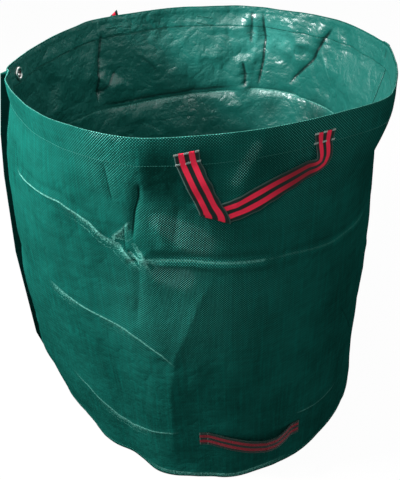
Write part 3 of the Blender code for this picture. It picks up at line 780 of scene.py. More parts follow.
# %% Rows and maps of a panel
FOLD_TURNS = 8              # steps in the half turn over the hoop
RIM_HIGHLIGHT = 0.55             # the crest over the hoop is painted pale as a highlight
FIN_SHADE = 1.1              # the free edge is painted dark as shade
# Besides wear, these maps carry painted shade, painted light and painted glints.
CLOTH_MAPS = {"pale": pale, "pale_line": pale_line, "painted_shade": painted_shade, "painted_shade_line": painted_shade_line,
              "opened_and_glint": worn_and_glint, "lit_below_crease": lit_below_crease, "shade_and_highlight": shade_and_highlight}
wall_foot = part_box("front_panel")[0].z


def panel_rows(azimuth, free, lying, raised):
    """Points of a panel, from its foot up and over the hoop."""
    rows = []
    for height in np.maximum(heights, wall_foot):
        stands = standing_share(height)
        tip = seam_tip(height) - look_up(folded_wall, azimuth[0], height)
        reach = np.clip(tip - lap_lift, FIN_LEAST, FIN_MOST) / FIN
        rows.append(on_wall(azimuth - lying * (1 - stands), height, raised + free * reach * stands))
    bend = raised - hoop_out
    for step in range(1, FOLD_TURNS):
        turn = pi * step / FOLD_TURNS
        over = on_wall(azimuth - lying, hoop_high, hoop_out + bend * cos(turn))
        over[:, 2] = hoop_high + bend * sin(turn)
        rows.append(over)
    for height in np.arange(hoop_high, hem_edge - HEM_PAST_SEAM, -height_step):
        around_hoop = np.clip((height - hoop_low + HOOP_EASE) / HOOP_EASE, 0, 1)
        out = 2 * hoop_out * around_hoop - hem_depth(height) * (1 - around_hoop)
        rows.append(on_wall(azimuth - lying, height, out - raised))
    return np.stack(rows, axis=1)


def panel_maps(azimuth, row_heights, fin):
    """The finish's maps at each point of a panel, with its rim painted pale as a highlight and its free edge
    painted dark as shade.
    """
    maps = {label: look_up(field, azimuth[:, None], row_heights[None, :])
            for label, field in CLOTH_MAPS.items()}
    last_up = len(heights) - 1
    crest = last_up + FOLD_TURNS // 2
    # The crest of the fold over the hoop is painted pale as a highlight.
    maps["pale"][:, crest - 1:crest + 2] = RIM_HIGHLIGHT
    maps["pale_line"][:, crest - 1:crest + 2] = 0.0
    maps["lit_below_crease"][:, last_up:] = 0.0
    if fin:
        # The free edge is painted dark as shade.
        edge = slice(0, FIN_COLUMNS + 1)
        maps["pale"][edge, :crest - 1] = 0.0
        maps["painted_shade"][edge, :last_up - 1] = FIN_SHADE
        maps["painted_shade_line"][edge] = 0.0
    return maps


# %% Sew both panels
EYELET_BARREL = 0.0085      # radius of the hole that the eyelet needs


def eyelet_hole(centres):
    return np.linalg.norm(centres - np.array(eyelet_middle), axis=1) < EYELET_BARREL


def panel(name, first, last, lift, fin=False, skip=None):
    """One wall panel from side seam to side seam, with half a lap on both sides."""
    columns = round((last - first) / azimuth_step) + 7
    azimuth = np.linspace(first - arc(LAP / 2), last + arc(LAP / 2), columns)
    free = np.zeros_like(azimuth)
    if fin:
        free = np.concatenate((np.linspace(FIN, FIN / FIN_COLUMNS, FIN_COLUMNS), free))
        azimuth = np.concatenate((np.full(FIN_COLUMNS, azimuth[0]), azimuth))
    lying = arc(free * FIN_LYING)
    points = panel_rows(azimuth, free, lying, lift(azimuth) * lap_lift)
    steps = np.linalg.norm(np.diff(points, axis=1), axis=-1).mean(axis=0)
    up = np.concatenate(([0], np.cumsum(steps)))
    along = np.radians(azimuth - lying) * BAG_RADIUS
    flat = np.stack(np.meshgrid(along, up, indexing="ij"), axis=-1)
    maps = panel_maps(azimuth, points[:, :, 2].mean(axis=0), fin)
    turned_in = len(heights) + FOLD_TURNS - 1
    cloth = bent_cloth(name, points, flat, DRAWN_CLOTH, maps, skip, two_faced=True, film_from=turned_in)
    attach(cloth, "bag")
    return cloth


front_wall = panel("front_wall", LEFT_SEAM, RIGHT_SEAM, lapped, fin=True)
back_wall = panel("back_wall", RIGHT_SEAM, LEFT_SEAM + 360, np.zeros_like, skip=eyelet_hole)
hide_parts("front_panel")
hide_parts("back_panel")

# %% [markdown]
# ## The hoop in the hem
# A flat strip of springy plastic runs round inside the hem and stops short of the left seam on
# both sides. Nothing of it shows, but it gives the rim its roundness. A curve with a flat bevel
# could make it. The strip is laid through the same map as the wall, so it fits between its layers.

# %% Hoop
HOOP_END_GAP = 0.012


def hoop():
    azimuth = np.linspace(LEFT_SEAM + arc(HOOP_END_GAP), LEFT_SEAM + 360 - arc(HOOP_END_GAP), 480)
    points = np.stack([on_wall(azimuth, h, hoop_out) for h in np.linspace(hoop_low, hoop_high, 5)], axis=1)
    along = np.radians(azimuth) * BAG_RADIUS
    flat = np.stack(np.meshgrid(along, np.linspace(0, hoop_high - hoop_low, 5), indexing="ij"), axis=-1)
    strip = bent_cloth("hem_hoop", points, flat, HOOP_THICKNESS)
    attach(strip, "bag")
    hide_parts("rim_hoop")
    print("hoop is", round(float(along[-1] - along[0]), 3), "m long")
    return strip


hoop_strip = hoop()

# %% [markdown]
# ## The base
# The base is a round of the same cloth, its edge turned up and sewn inside the wall. It lies on
# the ground. Two creases of its flat pack cross in its middle, and the seam gathers its edge into
# small puckers. It is a grid too, of rings and spokes, so that its rim can follow the wall.

# %% Base cloth
BASE_FLANGE = 0.016
BASE_CORNER = 0.003         # the edge turns up over this height
BASE_RINGS = 46
BASE_SPOKES = 300
CROSS_HALF, CROSS_LIFT = 0.006, 0.0012      # half width and height of the folds that cross the base
PUCKER_LIFT = 0.0022        # the seam gathers the edge of the base into puckers


def join_corners(piece):
    """Joins corners that lie in one place, so that a round of cloth has no hole or slit."""
    shape = bmesh.new()
    shape.from_mesh(piece.data)
    bmesh.ops.remove_doubles(shape, verts=shape.verts, dist=0.00001)
    shape.to_mesh(piece.data)
    shape.free()


def base_cloth():
    azimuth = np.linspace(-180, 180, BASE_SPOKES + 1)
    edge = look_up(folded_wall, azimuth, 0.004) - hem_closed
    shares = np.linspace(0, 1, BASE_RINGS)
    radius = edge[:, None] * shares[None, :]
    turn = np.radians(azimuth)[:, None]
    x, y = radius * np.sin(turn), -radius * np.cos(turn)
    cross = sum(np.exp(-abs(fold) / CROSS_HALF) for fold in (x * 0.8 + y * 0.6, x * 0.6 - y * 0.8))
    puckers = 0.5 + 0.5 * np.sin(turn * 31 + 2 * np.sin(turn * 7))
    near_edge = np.clip((shares - 0.82) / 0.18, 0, 1) ** 2 * (1 - shares ** 24)
    lift = CROSS_LIFT * cross + PUCKER_LIFT * puckers * near_edge
    z = CLOTH / 2 + np.clip(lift * (1 - shares ** 40), 0, None)
    rows = [np.stack((x[:, k], y[:, k], z[:, k]), axis=-1) for k in range(BASE_RINGS)]
    flange = np.linspace(BASE_CORNER, BASE_FLANGE, 6)
    rows += [on_wall(azimuth, height, -hem_closed) for height in flange]
    points = np.stack(rows, axis=1)
    flat_radius = np.concatenate((shares * BAG_RADIUS, BAG_RADIUS + flange))
    flat = np.stack((flat_radius * np.sin(turn), -flat_radius * np.cos(turn)), axis=-1)
    whiteness = np.zeros(points.shape[:2])
    whiteness[:, :BASE_RINGS] = np.clip(cross - 0.45, 0, 1)
    cloth = bent_cloth("base_cloth", points, flat, DRAWN_CLOTH, {"pale": whiteness})
    join_corners(cloth)
    return cloth


base = base_cloth()
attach(base, "bag")
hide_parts("base_panel")

# %% [markdown]
# ## The cloth's finish
# The tapes are about two millimetres wide and cross over and under, so their tops make a pattern
# of small cushions on the diagonal. A clear film lies over them, dulled by use. A photograph of
# woven cloth could be laid on, but two waves along the UV map give the same cushions at any
# distance. Every tape has its own tone. Where the weave is open, the gaps between tapes get painted
# shade and the tapes on top are painted lighter as a highlight. Along a crease the film is made
# pale, partly as its whitening and partly as painted sheen, and tight grooves get painted shade.
# The maps on the mesh say where the cloth is worn open, and where light, shade and glints are
# painted on it.

# %% Woven cloth material
TAPE = 0.0021
PALE_HALF = 0.0028          # half width of a pale crease line
LIT_DROP = 0.021          # how far below its line the painted light reaches
# Sign, greatest share and colour of the painted patches: painted shade first, then painted highlight.
SHADE_AND_HIGHLIGHT_TINTS = ((1, 0.75, (0.0016, 0.020, 0.015, 1)), (-1, 0.60, (0.055, 0.360, 0.310, 1)))
SHADE_HALF = {1: 0.0026, -1: 0.0050}    # half width of a groove's painted shade, outside and inside


def woven_cloth(name, filmed, gloss, rough, crinkled, facing):
    """filmed is 0 where the tapes lie open and 1 under the film.
    facing is 1 for the outside of the bag and -1 for the inside."""
    n = Nodes(name)
    place = n.add("UVMap", uv_map="cloth")
    split = n.add("SeparateXYZ", {0: place}, output=0).node
    along, up = split.outputs[0], split.outputs[1]
    wave_along = n.math("SINE", n.times(along, pi / TAPE))
    wave_up = n.math("SINE", n.times(up, pi / TAPE))
    wave = n.times(wave_along, wave_up)
    cushion = n.math("POWER", n.math("ABSOLUTE", wave), 0.6)
    upright_tape = n.math("FLOOR", n.times(along, 1 / TAPE))
    level_tape = n.math("FLOOR", n.times(up, 1 / TAPE))
    upright_shade = n.add("TexWhiteNoise", {"W": upright_tape}, noise_dimensions="1D")
    level_shade = n.add("TexWhiteNoise", {"W": level_tape}, noise_dimensions="1D")
    shade = n.add("Mix", {0: n.ramp(wave, -0.12, 0.12), 2: level_shade, 3: upright_shade}, data_type="FLOAT")
    blotch = n.add("TexNoise", {"Vector": place, "Scale": 9.0, "Detail": 4.0, "Roughness": 0.6})
    streak_place = n.add("Mapping", {"Vector": place, "Scale": (160.0, 14.0, 1.0)})
    streaks = n.add("TexNoise", {"Vector": streak_place, "Scale": 1.0, "Detail": 3.0})
    opened_and_glint = n.field("opened_and_glint")
    open_weave = n.math("ADD", 0.07, n.times(opened_and_glint, 0.93))
    open_weave = n.times(open_weave, 1 - 0.65 * filmed)
    green = n.mix(n.ramp(blotch, 0.3, 0.7), (0.0032, 0.046, 0.036, 1), (0.0054, 0.082, 0.065, 1))
    green = n.mix(filmed, green, (0.010, 0.138, 0.114, 1))
    green = n.mix(n.times(n.ramp(streaks, 0.42, 0.75), 0.24), green, (0.003, 0.150, 0.118, 1))
    green = n.mix(n.times(n.math("SUBTRACT", shade, 0.2), 0.20), green, (0.003, 0.170, 0.132, 1))
    # Painted shade in the gaps between the tapes, where the weave is open.
    shade_between_tapes = n.times(n.math("SUBTRACT", 1.0, cushion), n.times(open_weave, 0.85))
    green = n.mix(shade_between_tapes, green, (0.0003, 0.009, 0.007, 1))
    # The tapes on top are painted lighter as a highlight on their cushions, and whiter still as glints where
    # the weave is most open.
    float_on_top = n.times(n.ramp(wave, 0.30, 0.90), open_weave)
    float_highlight = n.mix(n.ramp(opened_and_glint, 0.70, 1.0), (0.110, 0.700, 0.580, 1), (0.260, 0.920, 0.800, 1))
    green = n.mix(float_on_top, green, float_highlight)
    grain_place = n.add("Mapping", {"Vector": place, "Scale": (300.0, 420.0, 1.0)})
    grain = n.add("TexNoise", {"Vector": grain_place, "Scale": 1.0, "Detail": 4.0, "Roughness": 0.65})
    # Patches painted darker as shade where the map is above 0, and paler as highlight where it is below 0.
    painted_patch = n.times(n.field("shade_and_highlight"), n.ramp(grain, 0.22, 0.50))
    for sign, strongest, tint in SHADE_AND_HIGHLIGHT_TINTS:
        share = n.times(n.math("MAXIMUM", n.times(painted_patch, sign), 0.0), strongest)
        green = n.mix(share, green, tint)
    # Crease lines and the rim's crest are painted pale, partly as the film's whitening along a fold and
    # partly as painted sheen and highlight.
    signed = n.field("pale_line")
    distance = n.math("ABSOLUTE", signed)
    milky_and_lit = n.times(n.field("pale"), n.ramp(distance, PALE_HALF, 0.0))
    milky_and_lit = n.times(milky_and_lit, n.ramp(grain, 0.36, 0.56))
    # Painted light: pale speckles below a crease line, where the cloth faces up.
    below_line = n.times(n.ramp(signed, -LIT_DROP, 0.0), n.ramp(signed, PALE_HALF, 0.0))
    speckles = n.ramp(n.math("ADD", grain, n.times(below_line, 0.16)), 0.58, 0.72)
    lit_cloth_and_rubbed_steel = n.times(n.field("lit_below_crease"), n.ramp(below_line, 0.0, 0.3))
    lit_cloth_and_rubbed_steel = n.times(n.times(lit_cloth_and_rubbed_steel, speckles), 0.75)
    milky_and_lit = n.times(n.math("MAXIMUM", milky_and_lit, lit_cloth_and_rubbed_steel), 0.90)
    green = n.mix(milky_and_lit, green, (0.170, 0.520, 0.440, 1))
    # Painted shade in tight grooves and on the left seam's free edge.
    distance = n.math("ABSOLUTE", n.field("painted_shade_line"))
    painted_dark = n.times(n.field("painted_shade"), facing)
    reach = SHADE_HALF[facing]
    painted_dark = n.times(n.math("MAXIMUM", painted_dark, 0.0), n.ramp(distance, reach, reach / 4))
    green = n.mix(n.times(painted_dark, 0.85), green, (0.0004, 0.007, 0.006, 1))
    n.set(Base_Color=green, Specular_IOR_Level=gloss)
    spread = {"From Min": 0.3, "From Max": 0.7, "To Min": rough - 0.06, "To Max": rough + 0.06}
    dull = n.add("MapRange", {"Value": blotch, **spread})
    n.set(Roughness=dull)
    wrinkles = 0.0
    for scale, part in ((24.0, 1.0), (58.0, 0.42), (140.0, 0.18)):
        swell = n.add("TexNoise", {"Vector": place, "Scale": scale, "Detail": 1.0})
        ridge = n.math("ABSOLUTE", n.math("SUBTRACT", swell, 0.5))
        wrinkles = n.math("ADD", wrinkles, n.times(ridge, part))
    crinkle = n.add("Bump", {"Height": wrinkles, "Strength": crinkled, "Distance": 0.0075})
    height = n.times(cushion, open_weave)
    weave = n.add("Bump", {"Height": height, "Strength": 1.0, "Distance": 0.0005, "Normal": crinkle})
    n.set(Normal=weave)
    return n.material


open_side = woven_cloth("woven tapes outside", 0.0, gloss=0.0, rough=0.60, crinkled=0.55, facing=1)
filmed_side = woven_cloth("filmed tapes inside", 1.0, gloss=0.85, rough=0.38, crinkled=0.9, facing=-1)
for cloth in (front_wall, back_wall):
    cloth.data.materials.append(open_side)
    cloth.data.materials.append(filmed_side)
base.data.materials.append(filmed_side)

# %% [markdown]
# ## Stitches
# Real stitches are short: the thread dives into the cloth every three or four millimetres. Each
# stitch is a small five-sided bead, thick in the middle and sunk at its ends. A curve through the
# whole seam would be quicker, and would look like a wire laid on the cloth.


# %% Stitch maker
STITCH, STITCH_SPACE = 0.0034, 0.0040
THREAD_RADIUS = 0.00030
BEAD_SIDES = 5
# Share of the stitch, and thickness and lift in thread radii.
BEAD = ((0.0, 0.55, -0.6), (0.25, 1.0, 0.35), (0.75, 1.0, 0.35), (1.0, 0.55, -0.6))


def stitches(name, start_points, end_points, outward, node, radius=THREAD_RADIUS):
    """One bead for each start and end point, standing on the side that outward points to."""
    sides = BEAD_SIDES
    run = end_points - start_points
    run_direction = run / np.linalg.norm(run, axis=1, keepdims=True)
    across = np.cross(run_direction, outward)
    across /= np.linalg.norm(across, axis=1, keepdims=True)
    rings = []
    for share, thick, lift in BEAD:
        middle = start_points + run * share + outward * lift * radius
        for k in range(sides):
            turn = 2 * pi * k / sides
            rings.append(middle + (across * cos(turn) + outward * sin(turn)) * radius * thick)
    corners = np.stack(rings, axis=1)
    count, per = len(corners), len(rings)
    faces = []
    for b in range(count):
        base_index = b * per
        for first in range(base_index, base_index + per - sides, sides):
            for k in range(sides):
                a, c = first + k, first + (k + 1) % sides
                faces.append((a, a + sides, c + sides, c))
        faces.append(tuple(base_index + k for k in range(sides)))
        faces.append(tuple(base_index + per - sides + k for k in reversed(range(sides))))
    mesh = bpy.data.meshes.new(name)
    mesh.from_pydata(corners.reshape(-1, 3).tolist(), [], faces)
    mesh.shade_smooth()
    piece = in_scene(name, mesh)
    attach(piece, "bag")
    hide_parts(node)
    return piece


def seam(name, azimuth, height, out, side, node):
    """A row of stitches along a line on the wall. side is 1 outside the bag and -1 inside it."""
    points = on_wall(azimuth, height, out)
    outward = on_wall(azimuth, height, out + side * 0.01) - points
    outward /= np.linalg.norm(outward, axis=1, keepdims=True)
    lengths = np.concatenate(([0], np.cumsum(np.linalg.norm(np.diff(points, axis=0), axis=1))))
    starts = np.arange(0, lengths[-1] - STITCH, STITCH_SPACE)

    def at(values):
        return np.stack([np.interp(values, lengths, points[:, k]) for k in range(3)], axis=1)

    outs = np.stack([np.interp(starts + STITCH / 2, lengths, outward[:, k]) for k in range(3)], axis=1)
    return stitches(name, at(starts), at(starts + STITCH), outs, node)


# %% Seams of the wall
BASE_SEAM_HEIGHT = 0.009
SEAM_ROWS = 0.008           # between the two rows of a side seam
SEAM_END = 0.003            # a side seam stops this far from the hem's edge and the base's
LIE = CLOTH / 2 + 0.0001    # from the middle of the cloth to the thread on it
hem_seam_height = hem_edge + 0.0004
thread_pieces = []


def sewn_through(name, node, azimuth, height, out, depth):
    """One row on both faces: out from the wall outside, and so deep behind it inside."""
    thread_pieces.append(seam(f"{name}_outside", azimuth, height, LIE + out, 1, f"{node}_outer"))
    thread_pieces.append(seam(f"{name}_inside", azimuth, height, -LIE - depth, -1, f"{node}_inner"))


for side_name, first, last in (("front", LEFT_SEAM, RIGHT_SEAM), ("back", RIGHT_SEAM, LEFT_SEAM + 360)):
    inset = 0 if side_name == "front" else arc(LAP)
    azimuth = np.linspace(first + inset, last - inset, 700)
    raised = lapped(azimuth) * lap_lift if side_name == "front" else np.zeros_like(azimuth)
    for seam_name, height in (("hem", hem_seam_height), ("base", BASE_SEAM_HEIGHT)):
        depth = hem_depth(height) + raised if seam_name == "hem" else hem_closed
        sewn_through(f"{seam_name}_stitches_{side_name}", f"{seam_name}_thread_{side_name}",
                     azimuth, np.full_like(azimuth, height), raised, depth)

for seam_name, azimuth, front_side in (("left", LEFT_SEAM, 1), ("right", RIGHT_SEAM, -1)):
    for row, side in (("front", front_side), ("back", -front_side)):
        level = np.linspace(BASE_FLANGE + SEAM_END, hem_edge - SEAM_END, 260)
        beside = np.full_like(level, azimuth + side * arc(SEAM_ROWS / 2))
        sewn_through(f"{seam_name}_seam_{row}", f"{seam_name}_seam_thread_{row}",
                     beside, level, lap_lift, 0.0)
print(len(thread_pieces), "rows of stitches")

# %% [markdown]
# ## Webbing handles
# The handles are flat woven straps with two red stripes on black. Each is sewn to the wall at both
# ends, and the long free part hangs. The top front strap was folded flat on itself, so its short
# leg runs down, turns over a sharp crease and comes back from behind it. A ribbon is laid through
# a list of lines across the strap: where the line's middle is along and up the wall, how far it
# stands off, how it slopes, and how wide it looks there.

# %% Measures of the straps
WEB_WIDTH = 0.035
WEB = 0.0015                # thickness of the webbing
STRAP_GAP = 0.0006          # between a strap and what lies behind it
WEB_OUT = CLOTH / 2 + STRAP_GAP + WEB / 2
TAB_LENGTH = 0.017
TOP_SPAN, TOP_AZIMUTH = 0.208, 14.0
LOWER_SPAN, LOWER_AZIMUTH, LOWER_HEIGHT = 0.174, 13.2, 0.128
BACK_TURN = 182.0           # the back pair of handles sits this many degrees round from the front pair
top_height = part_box("top_front_tab_right")[0].z
print("top handles are sewn on", round(top_height, 3), "m up, and lower ones", LOWER_HEIGHT, "m")

# %% Lines of a top strap
FOLD = Vector((0.0355, -0.091))     # where it is folded, along and up from its left end
CURL = Vector((0.180, -0.033))      # where it curls over towards its right end
TAB_TILT = 8.0
LEG_GAP = 1.7 * WEB                 # from the middle of the leg behind to the middle of the one in front
# Share of each leg and how far it stands off, then roll, then half width, all three in mm.
DOWN_LEG = ((0.06, 0.5), (0.14, 1.8), (0.26, 3.0), (0.40, 3.4), (0.52, 2.6))
UP_LEG = ((0.0, 0.6, 0.4), (0.2, 1.8, 1.6), (0.4, 1.8, 1.4), (0.6, 1.8, -0.6), (0.8, 3.6, -3.2),
          (1.0, 5.8, -5.4))
LAST_LEG = ((0.22, 6.6, -6.0, 17.2), (0.45, 6.2, -4.6, 16.6), (0.68, 4.2, -2.2, 15.6),
            (0.88, 1.6, -0.5, 14.8))
PINCHED_END = ((0.05, 14.4), (0.35, 15.4), (0.68, 16.8), (1.0, 17.5))   # share of the sewn end, half width
RAISED_END = 0.0230         # the back strap's right end runs on above its stitches and is cut aslant
RAISED_CUT = 34.0


def cross_line(place, out, slope, reach=WEB_WIDTH / 2, roll=0.0):
    """One line across a strap. roll lifts one edge off the wall and lowers the other."""
    return (place[0], place[1], out, slope, reach, roll)


def slope_of(direction):
    return np.degrees(atan2(direction.y, direction.x))


def top_strap_lines(raised_end):
    """From the left sewn end down to the fold, and behind it up again to the right sewn end."""
    down = FOLD.normalized()
    up = (CURL - FOLD).normalized()
    crease = (down + up).normalized()
    reach = WEB_WIDTH / 2 / abs(down.cross(crease))
    clear = reach * down.dot(crease) + WEB
    behind, front = WEB_OUT + STRAP_GAP, WEB_OUT + STRAP_GAP + LEG_GAP
    across_down = slope_of(Vector((-down.y, down.x)))
    across_up = slope_of(Vector((up.y, -up.x)))
    tilt = radians(TAB_TILT)
    tab = Vector((-sin(tilt), cos(tilt)))
    lines = [cross_line(tab * TAB_LENGTH * s, WEB_OUT, TAB_TILT) for s in (1.0, 0.66, 0.33, 0.05)]
    for share, stand in DOWN_LEG:
        eased = smooth(min(1.0, share / 0.45))
        slope = TAB_TILT + (across_down - TAB_TILT) * eased
        out = WEB_OUT + stand / 1000 + (front - behind) * eased * 0.5
        lines.append(cross_line(FOLD * share, out, slope))
    lines.append(cross_line(FOLD - down * clear, front, across_down))
    bend = (front - behind) / 2
    for step in range(7):
        turn = pi * step / 6
        place = FOLD + Vector((crease.y, -crease.x)) * bend * sin(turn)
        lines.append(cross_line(place, behind + bend + bend * cos(turn), slope_of(crease), reach))
    start = FOLD + up * clear
    for share, stand, roll in UP_LEG:
        place = start.lerp(CURL, share)
        lines.append(cross_line(place, behind + stand / 1000, across_up, roll=roll / 1000))
    end = Vector((TOP_SPAN, -0.001))
    for share, stand, roll, reach in LAST_LEG:
        bulge = sin(pi * share) * 0.009
        place = CURL.lerp(end, share) + Vector((bulge, -bulge))
        slope = across_up * (1 - smooth(share))
        lines.append(cross_line(place, behind + stand / 1000, slope, reach / 1000, roll / 1000))
    for share, reach in PINCHED_END:
        lines.append(cross_line(end + Vector((0, TAB_LENGTH * share)), WEB_OUT, 0.0, reach / 1000))
    if raised_end:
        for rise in (0.33, 0.66, 1.0):
            place = end + Vector((0, TAB_LENGTH + RAISED_END * rise))
            lines.append(cross_line(place, WEB_OUT + 0.0012 * rise, -RAISED_CUT * rise))
    return lines


# %% Lines of a lower strap
LOWER_STRAP = (             # share of the span, then drop and how far it stands off in metres
    (0.00, 0.000, 0.000), (0.12, 0.005, 0.003), (0.28, 0.011, 0.009), (0.46, 0.018, 0.016),
    (0.62, 0.026, 0.019), (0.76, 0.031, 0.016), (0.90, 0.032, 0.007), (1.00, 0.031, 0.000),
)


def lower_strap_lines():
    """A lower strap hangs off the wall past its middle."""
    lines = [cross_line((-TAB_LENGTH * s, 0.0), WEB_OUT, -90) for s in (1.0, 0.5, 0.08)]
    for share, drop, stand in LOWER_STRAP:
        lines.append(cross_line((0.001 + share * (LOWER_SPAN - 0.002), -drop), WEB_OUT + 0.0005 + stand, -90))
    drop = LOWER_STRAP[-1][1]
    lines += [cross_line((LOWER_SPAN + TAB_LENGTH * s, -drop), WEB_OUT, -90) for s in (0.08, 0.5, 1.0)]
    return lines


# %% Ribbon through cross lines
RIBBON_COLUMNS = 20
RIBBON_SPACING = 0.0028     # between the lines of a finished ribbon
ROUNDED = 0.65              # how far its path follows the smooth curve and not the straight one
LINES_APART = 1e-5          # keeps two cross lines in one place apart


def fill_in(lines):
    """Adds lines between the given ones, on a smooth curve through them."""
    table = np.array(lines, float)
    table[:, 3] = np.degrees(np.unwrap(np.radians(table[:, 3] * 2))) / 2
    steps = np.linalg.norm(np.diff(table[:, :3], axis=0), axis=1)
    knots = np.concatenate(([0], np.cumsum(steps + LINES_APART)))
    places = []
    for low, high in zip(knots, knots[1:]):
        count = max(2, ceil((high - low) / RIBBON_SPACING))
        places += list(np.linspace(low, high, count, endpoint=False))
    places.append(knots[-1])
    slopes = np.gradient(table, knots, axis=0)
    filled = []
    for place in places:
        k = min(len(knots) - 2, int(np.searchsorted(knots, place, side="right")) - 1)
        width = knots[k + 1] - knots[k]
        t = (place - knots[k]) / width
        straight = table[k] * (1 - t) + table[k + 1] * t
        curve = (table[k] * (1 - smooth(t)) + table[k + 1] * smooth(t)
                 + width * (t * (1 - t) ** 2 * slopes[k] - t * t * (1 - t) * slopes[k + 1]))
        filled.append((1 - ROUNDED) * straight + ROUNDED * curve)
    return np.array(filled)


def ribbon(name, lines, start_azimuth, level, wobble=0.0):
    """A strap through its cross lines. wobble is how far one edge waves to and fro."""
    table = fill_in(lines)
    share = np.linspace(-1, 1, RIBBON_COLUMNS + 1)
    reach = table[:, 4][:, None] * share[None, :]
    wave = wobble * np.sin(np.arange(len(table)) * 0.55)[:, None] * (share[None, :] > 0.8)
    slope = np.radians(table[:, 3])[:, None]
    along = table[:, 0][:, None] + (reach + wave) * np.cos(slope)
    rise = table[:, 1][:, None] + (reach + wave) * np.sin(slope)
    out = table[:, 2][:, None] + table[:, 5][:, None] * share[None, :]
    points = on_wall(start_azimuth + arc(along), level + rise, out).transpose(1, 0, 2)
    lengths = np.concatenate(([0], np.cumsum(np.linalg.norm(np.diff(table[:, :3], axis=0), axis=1))))
    flat = np.stack(np.meshgrid((share + 1) / 2, lengths, indexing="ij"), axis=-1)
    piece = bent_cloth(name, points, flat, WEB)
    piece.modifiers["thickness"].use_even_offset = False
    final = bpy.data.meshes.new_from_object(piece.evaluated_get(bpy.context.evaluated_depsgraph_get()))
    piece.modifiers.clear()
    piece.data = final
    print(name, "is", round(float(lengths[-1]), 3), "m of webbing")
    return piece


# %% Lay the four handles
def lay_handles():
    made = []
    for place, turn in (("front", 0.0), ("back", BACK_TURN)):
        start = turn + TOP_AZIMUTH - arc(TOP_SPAN / 2)
        name = f"top_{place}"
        strap = ribbon(f"{name}_webbing", top_strap_lines(place == "back"), start, top_height, 0.0007)
        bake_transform(strap)
        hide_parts(f"{name}_strap", f"{name}_tab_left", f"{name}_tab_right")
        made.append(strap)

        start = turn + LOWER_AZIMUTH - arc(LOWER_SPAN / 2)
        name = f"lower_{place}"
        lines = lower_strap_lines()
        middle = len(lines) // 2
        halves = (("left", lines[:middle + 1]), ("right", lines[middle:]))
        for half_name, half_lines in halves:
            strap = ribbon(f"{name}_webbing_{half_name}", half_lines, start, LOWER_HEIGHT)
            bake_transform(strap)
            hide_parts(f"{name}_tab_{half_name}", *([f"{name}_strap"] if half_name == "left" else []))
            made.append(strap)
    return made


webbing_pieces = lay_handles()

# %% [markdown]
# ## The webbing's finish
# Webbing is woven tight, so across it run fine ribs. From edge to edge it has a grey-green
# selvedge, black, red, black, red, black and the other selvedge. The stripes could be pieces of
# their own, but the real ones are dyed yarns in one weave, so a colour ramp across the UV map does it.
# The top straps are painted darker as shade beside the curl, and the lower ones all over.

# %% Webbing material
RIB = 0.0017
RED, BLACK, SELVEDGE = (0.94, 0.030, 0.080), (0.007, 0.021, 0.018), (0.045, 0.095, 0.082)
STRIPES = (                 # share of the width and colour
    (0.000, SELVEDGE), (0.035, SELVEDGE), (0.055, BLACK), (0.165, BLACK), (0.185, RED), (0.385, RED),
    (0.405, BLACK), (0.580, BLACK), (0.600, RED), (0.810, RED), (0.830, BLACK), (0.945, BLACK),
    (0.965, SELVEDGE),
)
YARNS = 24                  # across the strap
CURL_SHADE_SPAN = (0.180, 0.255, 0.275, 0.296)       # metres along a top strap where the painted shade by the curl starts and ends


def webbing(name, shaded, curl_shaded):
    """The first number after the name is how much painted shade darkens the whole strap, and the second how
    much it darkens the strap beside its curl.
    """
    n = Nodes(name)
    place = n.add("UVMap", uv_map="cloth")
    split = n.add("SeparateXYZ", {0: place}, output=0).node
    across, along = split.outputs[0], split.outputs[1]
    fray = n.add("TexNoise", {"Vector": place, "Scale": 60.0, "Detail": 2.0})
    shifted = n.math("ADD", across, n.times(n.math("SUBTRACT", fray, 0.5), 0.02))
    ramp = n.tree.nodes.new("ShaderNodeValToRGB")
    stops = ramp.color_ramp.elements
    stops[0].position, stops[0].color = STRIPES[0][0], (*STRIPES[0][1], 1)
    stops[1].position, stops[1].color = STRIPES[-1][0], (*STRIPES[-1][1], 1)
    for position, color in STRIPES[1:-1]:
        stop = stops.new(position)
        stop.color = (*color, 1)
    n.tree.links.new(shifted, ramp.inputs[0])
    rib = n.math("ABSOLUTE", n.math("SINE", n.times(along, pi / RIB)))
    yarn = n.math("ABSOLUTE", n.math("SINE", n.times(across, pi * YARNS)))
    weave = n.times(n.math("POWER", rib, 0.5), n.math("POWER", yarn, 0.35))
    worn = n.add("TexNoise", {"Vector": place, "Scale": 34.0, "Detail": 4.0})
    # Painted shade in the grooves between ribs and yarns.
    color = n.mix(n.times(n.math("SUBTRACT", 1.0, weave), 0.16), ramp.outputs[0], (0.02, 0.02, 0.02, 1))
    color = n.mix(n.times(n.ramp(worn, 0.5, 0.8), 0.04), color, (0.35, 0.35, 0.33, 1))
    # Painted shade beside the curl, and over the whole of a lower strap.
    curl_shade = n.times(n.ramp(along, CURL_SHADE_SPAN[0], CURL_SHADE_SPAN[1]), n.ramp(along, CURL_SHADE_SPAN[3], CURL_SHADE_SPAN[2]))
    painted_dark = n.math("MAXIMUM", n.times(curl_shade, curl_shaded), shaded)
    color = n.mix(painted_dark, color, (0.004, 0.010, 0.008, 1))
    n.set(Base_Color=color, Roughness=0.62, Specular_IOR_Level=0.08)
    n.set(Sheen_Weight=0.03, Sheen_Roughness=0.4)
    n.set(Normal=n.add("Bump", {"Height": weave, "Strength": 0.7, "Distance": 0.0004}))
    return n.material


# The top straps get painted shade beside the curl, the lower ones all over.
top_webbing = webbing("striped webbing", shaded=0.0, curl_shaded=0.62)
shaded_webbing = webbing("soiled striped webbing", shaded=0.80, curl_shaded=0.0)    # painted dark all over as shade
for strap in webbing_pieces:
    strap.data.materials.clear()
    strap.data.materials.append(shaded_webbing if strap.name.startswith("lower") else top_webbing)

